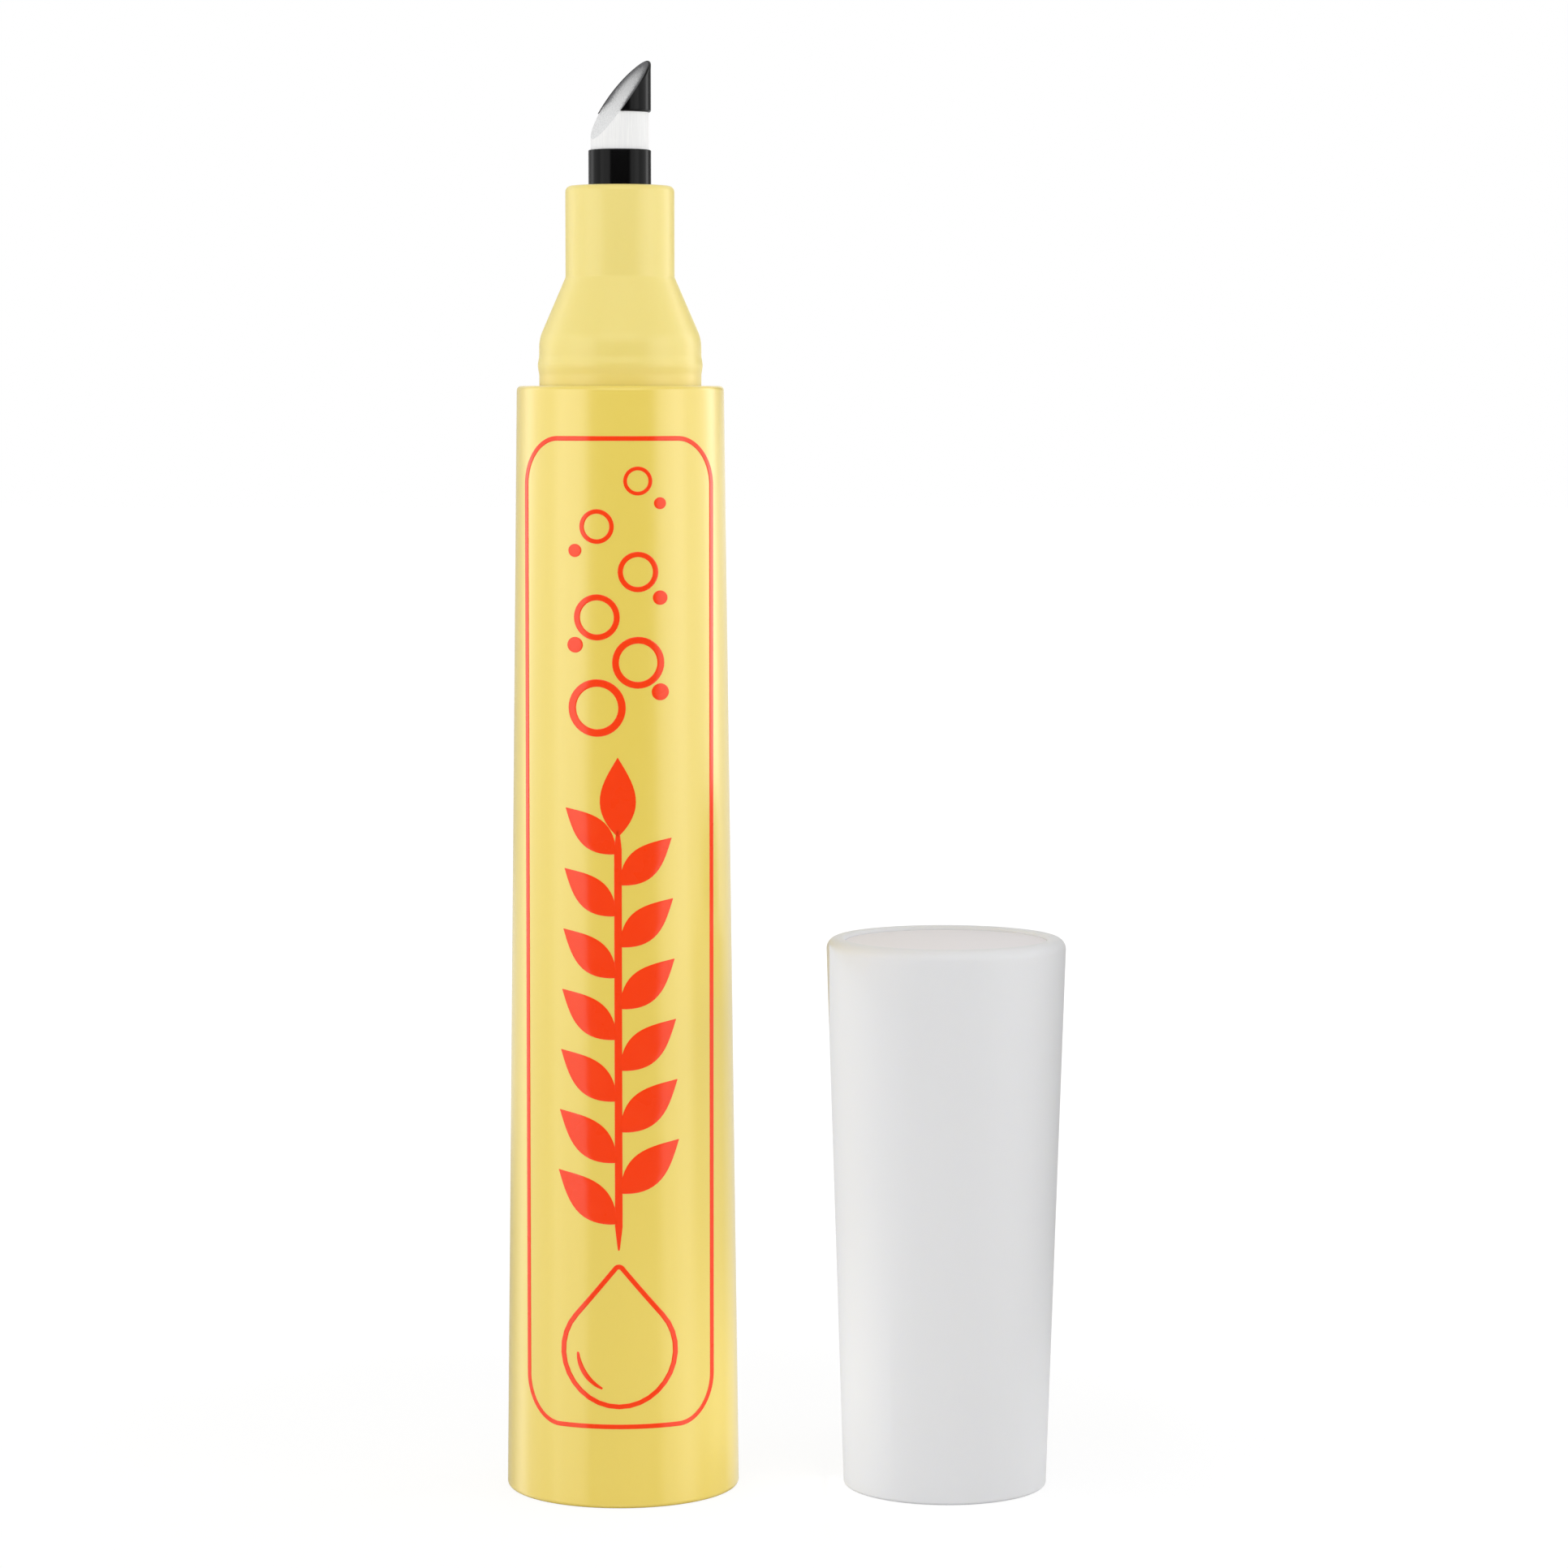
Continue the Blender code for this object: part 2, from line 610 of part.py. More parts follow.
def build_cap_liner(parts):
    """The inner cup that seals round the neck and keeps the nib wet."""
    corners = [
        (0, LINER_TOP, 0),
        (LINER_RADIUS, LINER_TOP, LINER_ROUNDING),
        (LINER_RADIUS, LINER_FLANGE_TOP, 0),
        (LINER_FLANGE_RADIUS, LINER_FLANGE_TOP, 0),
        (LINER_FLANGE_RADIUS, CAP_SKIRT, 0),
        (LINER_BORE, CAP_SKIRT, 0),
        (LINER_BORE, LINER_INNER_TOP, 0),
        (0, LINER_INNER_TOP, 0),
    ]
    return turned("cap_liner", corners, False, parts)


def main():
    """Build the pen, then the cap on its own axis."""
    clear_scene()
    parts = make_collection("cuticle_remover_pen")
    tools = make_collection("cutters")
    paint = make_materials()

    finish(build_barrel(parts, tools), paint["yellow_barrel"])
    finish(build_plug(parts, tools), paint["yellow_barrel"])
    finish(build_film(parts), paint["clear_film"])
    finish(build_fibre(parts), paint["reservoir_white"])
    finish(build_section(parts, tools), paint["yellow_section"])
    finish(build_sleeve(parts), paint["black_plastic"])
    felt, skin = build_nib(parts, tools)
    finish(felt, paint["white_felt"])
    finish(skin, paint["black_plastic"])

    cap_axis = bpy.data.objects.new("cap_axis", None)
    cap_axis.location = (CAP_DISTANCE, 0, 0)
    parts.objects.link(cap_axis)
    cap_pieces = [
        (build_cap_shell(parts, tools), "grey_cap"),
        (build_cap_disc(parts), "grey_cap"),
        (build_cap_liner(parts), "natural_liner"),
    ]
    for piece, material_name in cap_pieces:
        finish(piece, paint[material_name])
        piece.parent = cap_axis


main()
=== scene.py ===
"""Dresses the cuticle remover pen and its cap, and sets them in a plain white studio.

Every length is in metres, +Z is up, the pen stands on the origin and its cap stands beside it
along +X. The picture is taken from -Y. Turned pieces are profiles of (radius, height) points.
"""

import logging
import math
from collections.abc import Callable, Sequence
from dataclasses import dataclass, field
from enum import Enum
from typing import ClassVar

import bmesh
import bpy
from mathutils import Matrix, Vector


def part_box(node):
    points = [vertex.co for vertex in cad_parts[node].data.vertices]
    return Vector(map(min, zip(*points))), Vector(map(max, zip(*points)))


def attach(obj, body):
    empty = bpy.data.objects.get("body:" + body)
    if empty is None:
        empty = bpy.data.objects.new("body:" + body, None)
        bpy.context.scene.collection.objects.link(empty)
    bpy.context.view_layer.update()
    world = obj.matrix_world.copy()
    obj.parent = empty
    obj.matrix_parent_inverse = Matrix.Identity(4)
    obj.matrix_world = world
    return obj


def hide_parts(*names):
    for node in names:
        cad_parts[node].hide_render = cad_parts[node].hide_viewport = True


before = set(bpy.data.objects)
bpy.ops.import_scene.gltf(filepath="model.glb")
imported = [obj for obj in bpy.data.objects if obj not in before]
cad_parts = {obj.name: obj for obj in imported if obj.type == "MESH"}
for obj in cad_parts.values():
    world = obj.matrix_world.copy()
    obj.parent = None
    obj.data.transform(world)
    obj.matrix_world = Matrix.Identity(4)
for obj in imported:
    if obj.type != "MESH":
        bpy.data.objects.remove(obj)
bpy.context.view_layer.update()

log = logging.getLogger("cuticle_pen")

MM = 0.001
DEGREE = math.radians(1)
QUARTER = math.pi / 2
TURN_SIDES = 192
BEAD_STEPS = 16
CORNER_STEPS = 8
CORNER_REACH = 0.6  # of the shorter side, at most
EDGE_STEPS = 4
CURVE_STEPS = 24
RING_STEPS = 40
WELD_DISTANCE = 1e-8
SHARP_ANGLE = 40 * DEGREE
SOFT_EDGE = ((0.0, -1.0), (0.0, 0.4), (0.05, 0.8), (0.14, 1.0))
HALF_BAND = (*SOFT_EDGE, (0.23, 1.0), (0.32, 1.0), (0.41, 1.0))

Mesh = bpy.types.Mesh
Socket = bpy.types.NodeSocket
Value = Socket | float
Point = tuple[float, float]
Place = tuple[float, float, float]
Colour = tuple[float, float, float]
Corner = tuple[float, ...]  # radius, height and, where it is rounded, the rounding's radius


class Body(Enum):
    """The rigid bodies of the model."""

    PEN = "pen"
    CAP = "cap"


class Rim(Enum):
    """A printed band's section by its soft borders, in shares of its width and its lift."""

    BOTH = (*HALF_BAND, (0.5, 1.0), *((1 - share, up) for share, up in reversed(HALF_BAND)))
    OUTER = (*SOFT_EDGE, (0.4, 1.0), (0.7, 1.0), (1.0, 1.0), (1.0, -1.0))


def placed(name: str, data: bpy.types.ID) -> bpy.types.Object:
    """Make an object and put it in the scene.

    Args:
        name: the object's name.
        data: its mesh, lamp or camera.

    Returns:
        The object.
    """
    made = bpy.data.objects.new(name, data)
    bpy.context.scene.collection.objects.link(made)
    return made


# Node trees


class NodeBench:
    """Adds nodes to one tree and joins them."""

    def __init__(self, tree: bpy.types.NodeTree) -> None:
        """Work on a tree."""
        self.tree = tree

    def plug(self, socket: Socket, value: Value | Sequence[float]) -> None:
        """Join an input to another socket, or set it.

        Args:
            socket: the input.
            value: the socket to join it to, or the value to set.
        """
        if isinstance(value, Socket):
            self.tree.links.new(value, socket)
        else:
            socket.default_value = value

    def add(self, kind: str, inputs: dict | None = None, **settings) -> bpy.types.Node:
        """Add a node.

        Args:
            kind: the node's type name.
            inputs: for each input, by name or number, a socket to join or a value to set.
            **settings: the node's own properties.

        Returns:
            The new node.
        """
        node = self.tree.nodes.new(kind)
        for name, value in settings.items():
            setattr(node, name, value)
        for key, value in (inputs or {}).items():
            self.plug(node.inputs[key], value)
        return node

    def out(self, kind: str, inputs: dict | None = None, **settings) -> Socket:
        """Add a node and take its first output."""
        return self.add(kind, inputs, **settings).outputs[0]

    def math(self, operation: str, *values: Value) -> Socket:
        """One step of arithmetic."""
        return self.out("ShaderNodeMath", dict(enumerate(values)), operation=operation)

    def ramp(self, value: Value, span: Point, reach: Point = (0.0, 1.0)) -> Socket:
        """Map a value from one range to another, smoothly and within bounds."""
        inputs = dict(enumerate((value, *span, *reach)))
        return self.out("ShaderNodeMapRange", inputs, interpolation_type="SMOOTHSTEP")


class ShapeTree(NodeBench):
    """A Geometry Nodes tree with named inputs that ends in real, painted geometry."""

    name: ClassVar[str]
    inputs: ClassVar[dict[str, str]]

    def __init__(self) -> None:
        """Build the tree, from its inputs to its output."""
        super().__init__(bpy.data.node_groups.new(self.name, "GeometryNodeTree"))
        self.tree.is_modifier = True
        self.identifiers: dict[str, str] = {}
        for name, kind in {"Geometry": "Geometry", **self.inputs, "Material": "Material"}.items():
            socket = self.tree.interface.new_socket(
                name=name, in_out="INPUT", socket_type=f"NodeSocket{kind}")
            self.identifiers[name] = socket.identifier
        self.tree.interface.new_socket(
            name="Geometry", in_out="OUTPUT", socket_type="NodeSocketGeometry")
        self.given = self.add("NodeGroupInput").outputs
        real = self.out("GeometryNodeRealizeInstances", {"Geometry": self.shape()})
        painted = self.out(
            "GeometryNodeSetMaterial", {"Geometry": real, "Material": self.given["Material"]})
        self.add("NodeGroupOutput", {"Geometry": painted})

    def shape(self) -> Socket:
        """The geometry that the tree's own nodes make."""
        raise NotImplementedError

    def vector(self, x: Value, y: Value, z: Value) -> Socket:
        """A vector of three values."""
        return self.out("ShaderNodeCombineXYZ", {"X": x, "Y": y, "Z": z})

    def copies(self, seats: Socket, turn: Socket, **more: Socket) -> Socket:
        """Put the incoming geometry on points, turned by Euler angles."""
        rotation = self.out("FunctionNodeEulerToRotation", {"Euler": turn})
        return self.out("GeometryNodeInstanceOnPoints", {
            "Points": seats, "Instance": self.given["Geometry"], "Rotation": rotation, **more})

    def run(self, start: Mesh, values: dict) -> Mesh:
        """Feed a mesh through the tree.

        Args:
            start: the mesh that comes in.
            values: the value of each named input.

        Returns:
            The plain mesh that comes out.
        """
        carrier = placed(f"{self.name}_carrier", start)
        modifier = carrier.modifiers.new(self.name, "NODES")
        modifier.node_group = self.tree
        for name, value in values.items():
            modifier[self.identifiers[name]] = value
        bpy.context.view_layer.update()
        graph = bpy.context.evaluated_depsgraph_get()
        made = bpy.data.meshes.new_from_object(carrier.evaluated_get(graph))
        carrier.modifiers.remove(modifier)
        bpy.data.objects.remove(carrier, do_unlink=True)
        return made


class LatheTree(ShapeTree):
    """Turns a profile of (radius, 0, height) points round an upright axis."""

    name = "lathe"
    inputs = {"Points": "Int", "Sides": "Int", "Axis": "Vector", "Weld": "Float"}

    def shape(self) -> Socket:
        """Give a grid's rows the profile's points, turn its columns and weld it.

        Returns:
            The turned shell.
        """
        columns = self.math("ADD", self.given["Sides"], 1.0)
        grid = self.out("GeometryNodeMeshGrid", {
            "Vertices X": self.given["Points"], "Vertices Y": columns})
        index = self.out("GeometryNodeInputIndex")
        row = self.math("FLOOR", self.math("DIVIDE", self.math("ADD", index, 0.5), columns))
        column = self.math("SUBTRACT", index, self.math("MULTIPLY", row, columns))
        angle = self.math("DIVIDE", self.math("MULTIPLY", column, math.tau), self.given["Sides"])
        point = self.out("GeometryNodeSampleIndex", {
            "Geometry": self.given["Geometry"], "Index": row,
            "Value": self.out("GeometryNodeInputPosition")}, data_type="FLOAT_VECTOR")
        turned = self.out("ShaderNodeVectorRotate", {
            "Vector": point, "Angle": angle}, rotation_type="Z_AXIS")
        place = self.out("ShaderNodeVectorMath", {
            0: turned, 1: self.given["Axis"]}, operation="ADD")
        shell = self.out("GeometryNodeSetPosition", {"Geometry": grid, "Position": place})
        return self.out("GeometryNodeMergeByDistance", {
            "Geometry": shell, "Distance": self.given["Weld"]})


class RingTree(ShapeTree):
    """Repeats a piece evenly round an upright axis, as ribs and fins are."""

    name = "ring_of_ribs"
    inputs = {"Count": "Int", "Axis": "Vector"}

    def shape(self) -> Socket:
        """Copy the piece at the axis, each copy turned by its share of a full turn.

        Returns:
            The copies.
        """
        count = self.given["Count"]
        seats = self.out("GeometryNodeMeshLine", {
            "Count": count, "Start Location": self.given["Axis"], "Offset": (0.0, 0.0, 0.0)})
        index = self.out("GeometryNodeInputIndex")
        angle = self.math("DIVIDE", self.math("MULTIPLY", index, math.tau), count)
        return self.copies(seats, self.vector(0.0, 0.0, angle))


class RowTree(ShapeTree):
    """Repeats a flat motif up the panel, shifted and leaned to alternate sides."""

    name = "row_of_motifs"
    inputs = {
        "Count": "Int", "Start": "Vector", "Pitch": "Float", "Side Shift": "Float",
        "Lean": "Float", "First Size": "Float", "Last Size": "Float"}

    def shape(self) -> Socket:
        """Copy the motif on a line of points, each copy with its side, lean and size.

        Returns:
            The copies.
        """
        given = self.given
        line = self.out("GeometryNodeMeshLine", {
            "Count": given["Count"], "Start Location": given["Start"],
            "Offset": self.vector(0.0, 0.0, given["Pitch"])})
        index = self.out("GeometryNodeInputIndex")
        parity = self.math("FLOORED_MODULO", index, 2.0)
        side = self.math("SUBTRACT", self.math("MULTIPLY", parity, 2.0), 1.0)
        shift = self.vector(self.math("MULTIPLY", side, given["Side Shift"]), 0.0, 0.0)
        seats = self.out("GeometryNodeSetPosition", {"Geometry": line, "Offset": shift})
        last = self.math("MAXIMUM", self.math("SUBTRACT", given["Count"], 1.0), 1.0)
        growth = self.math("SUBTRACT", given["Last Size"], given["First Size"])
        grown = self.math("MULTIPLY", growth, self.math("DIVIDE", index, last))
        size = self.math("ADD", given["First Size"], grown)
        lean = self.vector(0.0, self.math("MULTIPLY", side, given["Lean"]), 0.0)
        return self.copies(seats, lean, Scale=self.vector(size, 1.0, size))


class WrapTree(ShapeTree):
    """Lays a flat print on the drafted barrel, straight back from the front.

    The flat print holds (distance across, lift off the surface, height).
    """

    name = "wrap_on_barrel"
    inputs = {"Base Radius": "Float", "Top Radius": "Float", "Length": "Float"}

    def shape(self) -> Socket:
        """Find the barrel's radius at each point's height and set the point on it.

        Returns:
            The laid print.
        """
        base = self.given["Base Radius"]
        place = self.out("GeometryNodeInputPosition")
        across, lift, height = self.add("ShaderNodeSeparateXYZ", {"Vector": place}).outputs
        growth = self.math("SUBTRACT", self.given["Top Radius"], base)
        draft = self.math("DIVIDE", growth, self.given["Length"])
        radius = self.math("ADD", base, self.math("MULTIPLY", draft, height))
        sine = self.math("DIVIDE", across, radius)
        cosine = self.math("SQRT", self.math("SUBTRACT", 1.0, self.math("MULTIPLY", sine, sine)))
        reach = self.math("ADD", radius, lift)
        side = self.math("MULTIPLY", reach, sine)
        front = self.math("MULTIPLY", self.math("MULTIPLY", reach, cosine), -1.0)
        return self.out("GeometryNodeSetPosition", {
            "Geometry": self.given["Geometry"], "Position": self.vector(side, front, height)})


# Finishes


@dataclass(frozen=True)
class Noise:
    """A noise pattern on a piece's own coordinates."""

    scale: float  # cells for each metre
    detail: float = 3.0  # octaves
    along: float = 1.0  # scale of the upright axis, small for upright streaks
    roughness: float = 0.5  # how strong the finer octaves are


class SurfaceBench(NodeBench):
    """A material's nodes round one Principled shader."""

    def __init__(self, name: str) -> None:
        """Start a material with its shader.

        Args:
            name: the material's name.
        """
        self.material = bpy.data.materials.new(name)
        self.material.use_nodes = True
        super().__init__(self.material.node_tree)
        self.shader = self.tree.nodes["Principled BSDF"]
        self.place = self.add("ShaderNodeTexCoord").outputs["Object"]

    def noise(self, pattern: Noise) -> Socket:
        """Add a noise pattern.

        Args:
            pattern: its sizes.

        Returns:
            Its value, 0 to 1.
        """
        spread = self.out("ShaderNodeMapping", {
            "Vector": self.place, "Scale": (1.0, 1.0, pattern.along)})
        return self.out("ShaderNodeTexNoise", {
            "Vector": spread, "Scale": pattern.scale, "Detail": pattern.detail,
            "Roughness": pattern.roughness})

    def attribute(self, name: str) -> Socket:
        """A value that the mesh carries."""
        return self.add("ShaderNodeAttribute", attribute_name=name).outputs["Fac"]

    def between(self, share: Value, low: Colour | Socket, high: Colour | Socket) -> Socket:
        """Mix two colours, which are the sixth and seventh inputs of the mixing node.

        Args:
            share: 0 for the low one, 1 for the high one.
            low: one colour.
            high: the other colour.

        Returns:
            The mixed colour.
        """
        mix = self.add("ShaderNodeMix", data_type="RGBA")
        for index, value in ((0, share), (6, low), (7, high)):
            self.plug(mix.inputs[index], (*value, 1.0) if isinstance(value, tuple) else value)
        return mix.outputs[2]

    def bumps(self, *layers: tuple[Socket, float]) -> None:
        """Give the shader bumps.

        Args:
            *layers: pairs of a height value, 0 to 1, and how many metres its full range is.
        """
        below: dict[str, Socket] = {}
        for height, distance in layers:
            below["Normal"] = self.out("ShaderNodeBump", {
                "Height": height, "Strength": 1.0, "Distance": distance, **below})
        self.set(**below)

    def set(self, **values: Value | Sequence[float]) -> None:
        """Set or join the shader's sockets, named with underscores for spaces."""
        for name, value in values.items():
            self.plug(self.shader.inputs[name.replace("_", " ")], value)


@dataclass(frozen=True)
class MouldedPlastic:
    """Injection-moulded plastic: faint colour drift, fine grain and slight waviness."""

    name: str
    slot: str
    colour: Colour
    drift: Colour
    roughness: float
    grain: Noise = Noise(9000.0, 2.0)
    grain_depth: float = 0.0006 * MM
    waves: Noise = Noise(240.0, 1.0, 0.3)
    wave_depth: float = 0.004 * MM
    specular: float = 0.5
    coat: float = 0.0
    coat_roughness: float = 0.2
    inner_glow: float = 0.0
    glow_depths: Colour = (1.0, 0.7, 0.25)
    glow_reach: float = 0.6 * MM
    clouds: Noise = Noise(55.0, 2.0, 0.35)
    cloud_span: Point = (0.3, 0.7)
    mottle: Noise = Noise(700.0, 4.0)
    mottle_span: Point = (0.2, 0.9)
    mottle_share: Point = (0.0, 0.3)
    gloss_span: Point = (0.25, 0.75)
    gloss_change: float = 0.02

    def material(self) -> bpy.types.Material:
        """Make the finish.

        Returns:
            Its material.
        """
        bench = SurfaceBench(self.name)
        clouds = bench.noise(self.clouds)
        broad = bench.between(bench.ramp(clouds, self.cloud_span), self.colour, self.drift)
        mottle = bench.ramp(bench.noise(self.mottle), self.mottle_span, self.mottle_share)
        gloss = self.roughness - self.gloss_change, self.roughness + self.gloss_change
        bench.set(
            Base_Color=bench.between(mottle, broad, self.drift),
            Roughness=bench.ramp(clouds, self.gloss_span, gloss),
            Specular_IOR_Level=self.specular,
            Coat_Weight=self.coat, Coat_Roughness=self.coat_roughness,
            Subsurface_Weight=self.inner_glow, Subsurface_Radius=self.glow_depths,
            Subsurface_Scale=self.glow_reach)
        bench.bumps(
            (bench.noise(self.waves), self.wave_depth), (bench.noise(self.grain), self.grain_depth))
        return bench.material


@dataclass(frozen=True)
class PrintedInk:
    """Opaque ink that lies on the barrel, a little uneven as screen printing leaves it."""

    name: str
    slot: str
    colour: Colour
    thin_colour: Colour
    roughness: Point
    specular: float = 0.1
    coat: float = 0.6
    coat_roughness: float = 0.15
    weave: Noise = Noise(4500.0, 2.0)
    weave_depth: float = 0.0012 * MM
    patches: Noise = Noise(350.0)
    patch_depth: float = 0.002 * MM
    thin_span: Point = (0.45, 0.8)
    thin_share: Point = (0.0, 0.5)
    gloss_span: Point = (0.3, 0.7)

    def material(self) -> bpy.types.Material:
        """Make the finish.

        Returns:
            Its material.
        """
        bench = SurfaceBench(self.name)
        patches = bench.noise(self.patches)
        thin = bench.ramp(patches, self.thin_span, self.thin_share)
        bench.set(
            Base_Color=bench.between(thin, self.colour, self.thin_colour),
            Roughness=bench.ramp(patches, self.gloss_span, self.roughness),
            Specular_IOR_Level=self.specular,
            Coat_Weight=self.coat, Coat_Roughness=self.coat_roughness)
        bench.bumps((bench.noise(self.weave), self.weave_depth), (patches, self.patch_depth))
        return bench.material


@dataclass(frozen=True)
class PressedFelt:
    """Bonded fibre rod: streaks along it, a closed and greyer skin where it is ground, its grey
    partly painted shade.
    """

    name: str
    slot: str
    fibre: Colour
    shade: Colour
    ground: Colour
    # Darkening colour: painted shade towards the apex, and the darker tone near the skin's rim.
    darkening: Colour
    roughness: float = 0.92
    specular: float = 0.2
    sheen: float = 0.15
    sheen_roughness: float = 0.6
    streaks: Noise = Noise(9000.0, 4.0, 0.05, 0.6)
    streak_span: Point = (0.35, 0.7)
    clumps: Noise = Noise(2200.0, 3.0, 0.25)
    clump_span: Point = (0.4, 0.75)
    clump_share: Point = (0.0, 0.3)
    clump_depth: float = 0.01 * MM
    pores: Noise = Noise(11000.0, 4.0, 1.0, 0.65)
    pore_span: Point = (0.3, 0.7)
    fibre_depth: float = 0.014 * MM
    apex_span: Point = (0.15, 1.0)
    apex_share: Point = (0.0, 0.5)
    rim_dark_span: Point = (0.56, 1.15)
    rim_dark_share: Point = (0.0, 0.97)

    def material(self) -> bpy.types.Material:
        """Make the finish.

        Returns:
            Its material.
        """
        bench = SurfaceBench(self.name)
        streaks, clumps, pores = map(bench.noise, (self.streaks, self.clumps, self.pores))
        side = bench.between(bench.ramp(streaks, self.streak_span), self.shade, self.fibre)
        matted = bench.ramp(clumps, self.clump_span, self.clump_share)
        side = bench.between(matted, side, self.shade)
        # The ground face's grey colour is partly painted shade on the slanted face.
        face = bench.between(bench.ramp(pores, self.pore_span), self.shade, self.ground)
        # Painted shade: the ground face darkens towards its apex.
        apex = bench.ramp(bench.attribute("toward_apex"), self.apex_span, self.apex_share)
        face = bench.between(apex, face, self.darkening)
        # Darker near the skin's rim, speckled through the pores.
        rim_dark = bench.math("ADD", pores, bench.attribute("rim_darkening"))
        face = bench.between(bench.ramp(rim_dark, self.rim_dark_span, self.rim_dark_share), face, self.darkening)
        on_face = bench.attribute("ground_face")
        bench.set(
            Base_Color=bench.between(on_face, side, face), Roughness=self.roughness,
            Specular_IOR_Level=self.specular, Sheen_Weight=self.sheen,
            Sheen_Roughness=self.sheen_roughness)
        bench.bumps(
            (clumps, self.clump_depth),
            (bench.between(on_face, streaks, pores), self.fibre_depth))
        return bench.material


Finish = MouldedPlastic | PrintedInk | PressedFelt

YELLOW_BARREL = MouldedPlastic(
    "yellow_barrel", "yellow_barrel", (0.82, 0.63, 0.09), (0.84, 0.65, 0.108),
    roughness=0.34, coat=1.0, coat_roughness=0.26, inner_glow=0.06)
YELLOW_SECTION = MouldedPlastic(
    "yellow_section", "yellow_section", (0.825, 0.68, 0.185), (0.845, 0.7, 0.215),
    roughness=0.5, grain_depth=0.0009 * MM, specular=0.3, coat=0.6, coat_roughness=0.3,
    inner_glow=0.12)
BLACK_PLASTIC = MouldedPlastic(
    "black_plastic", "black_plastic", (0.001, 0.001, 0.0011), (0.002, 0.002, 0.0022),
    roughness=0.16, grain_depth=0.0004 * MM, wave_depth=0.002 * MM, specular=0.1)
GREY_CAP = MouldedPlastic(
    "grey_cap", "grey_cap", (0.718, 0.72, 0.729), (0.738, 0.74, 0.749),
    roughness=0.5, grain=Noise(6500.0, 2.0), grain_depth=0.0018 * MM, inner_glow=0.05)
# Painted light: a lighter, warmer copy of the cap's grey, standing in for how the light falls on
# the upward end disc.
GREY_CAP_END_PAINTED_LIGHT = MouldedPlastic(
    "grey_cap_end_painted_light", "grey_cap", (0.815, 0.79, 0.81), (0.83, 0.805, 0.825),
    roughness=0.6, grain=Noise(6500.0, 2.0), grain_depth=0.0018 * MM, specular=0.12)
NATURAL_LINER = MouldedPlastic(
    "natural_liner", "natural_liner", (0.78, 0.78, 0.76), (0.81, 0.81, 0.79),
    roughness=0.36, inner_glow=0.3)
CLEAR_FILM = MouldedPlastic(
    "clear_film", "clear_film", (0.70, 0.74, 0.76), (0.74, 0.78, 0.8), roughness=0.15)
ORANGE_INK = PrintedInk(
    "orange_ink", "orange_ink", (0.97, 0.047, 0.0003), (0.98, 0.058, 0.001), (0.26, 0.35))
# The third colour, the ground face's grey, is partly painted shade. The last colour darkens the
# face towards its apex as painted shade, and near the skin's rim.
WHITE_FELT = PressedFelt(
    "white_felt", "white_felt", (0.9, 0.9, 0.89), (0.84, 0.84, 0.84), (0.6, 0.605, 0.605),
    (0.05, 0.05, 0.055))
RESERVOIR_FIBRE = PressedFelt(
    "reservoir_white", "reservoir_white", (0.82, 0.84, 0.84), (0.66, 0.68, 0.68),
    (0.66, 0.68, 0.68), (0.6, 0.6, 0.6))


# Outlines


def shares_of(steps: int) -> list[float]:
    """Even shares from 0 to 1."""
    return [step / steps for step in range(steps + 1)]


def eased(share: float) -> float:
    """A share that runs slower near 0 and 1."""
    return 0.5 - 0.5 * math.cos(math.pi * share)


def along(start: Point, end: Point, share: float) -> Point:
    """The point at a share of the way from one point to another."""
    return (start[0] + (end[0] - start[0]) * share, start[1] + (end[1] - start[1]) * share)


def line(start: Point, end: Point, steps: int) -> list[Point]:
    """Even points from one point, left out, to another."""
    return [along(start, end, share) for share in shares_of(steps)[1:]]


def arc(centre: Sequence[float], size: Point, span: Point, steps: int) -> list[Point]:
    """Points along part of an upright ellipse.

    Args:
        centre: its centre.
        size: its half width and half height.
        span: the first and the last point's angle.
        steps: how many steps it is cut into.

    Returns:
        The points, one more than the steps.
    """
    angles = [span[0] + (span[1] - span[0]) * share for share in shares_of(steps)]
    return [
        (centre[0] + size[0] * math.cos(angle), centre[1] + size[1] * math.sin(angle))
        for angle in angles]


def corner_arc(before: Vector, corner: Vector, after: Vector, rounding: float) -> list[Point]:
    """The arc that replaces a corner.

    Args:
        before: the corner before it.
        corner: where the sides meet.
        after: the next corner.
        rounding: the arc's radius.

    Returns:
        The arc's points, no longer than the sides allow.
    """
    sides = before - corner, after - corner
    half_angle = sides[0].angle(sides[1]) / 2
    longest = CORNER_REACH * min(side.length for side in sides)
    reach = min(rounding / math.tan(half_angle), longest)
    back, ahead = (side.normalized() for side in sides)
    centre = corner + (back + ahead).normalized() * (reach / math.cos(half_angle))
    first = corner + back * reach - centre
    sweep = first.angle_signed(corner + ahead * reach - centre)
    start = math.atan2(first.y, first.x)
    return arc(centre, (first.length, first.length), (start, start - sweep), CORNER_STEPS)


def profile(corners: Sequence[Corner]) -> list[Point]:
    """The points of a profile.

    Args:
        corners: its corners. Where they don't start on the axis, it is a tube's wall.

    Returns:
        The points, with an arc at each rounded corner, and the first again for a tube's wall.
    """
    points: list[Point] = []
    for index, (radius, height, *rounding) in enumerate(corners):
        if rounding:
            near = (corners[at % len(corners)][:2] for at in (index - 1, index, index + 1))
            points += corner_arc(*map(Vector, near), *rounding)
        else:
            points.append((radius, height))
    return points if corners[0][0] == 0 else [*points, points[0]]


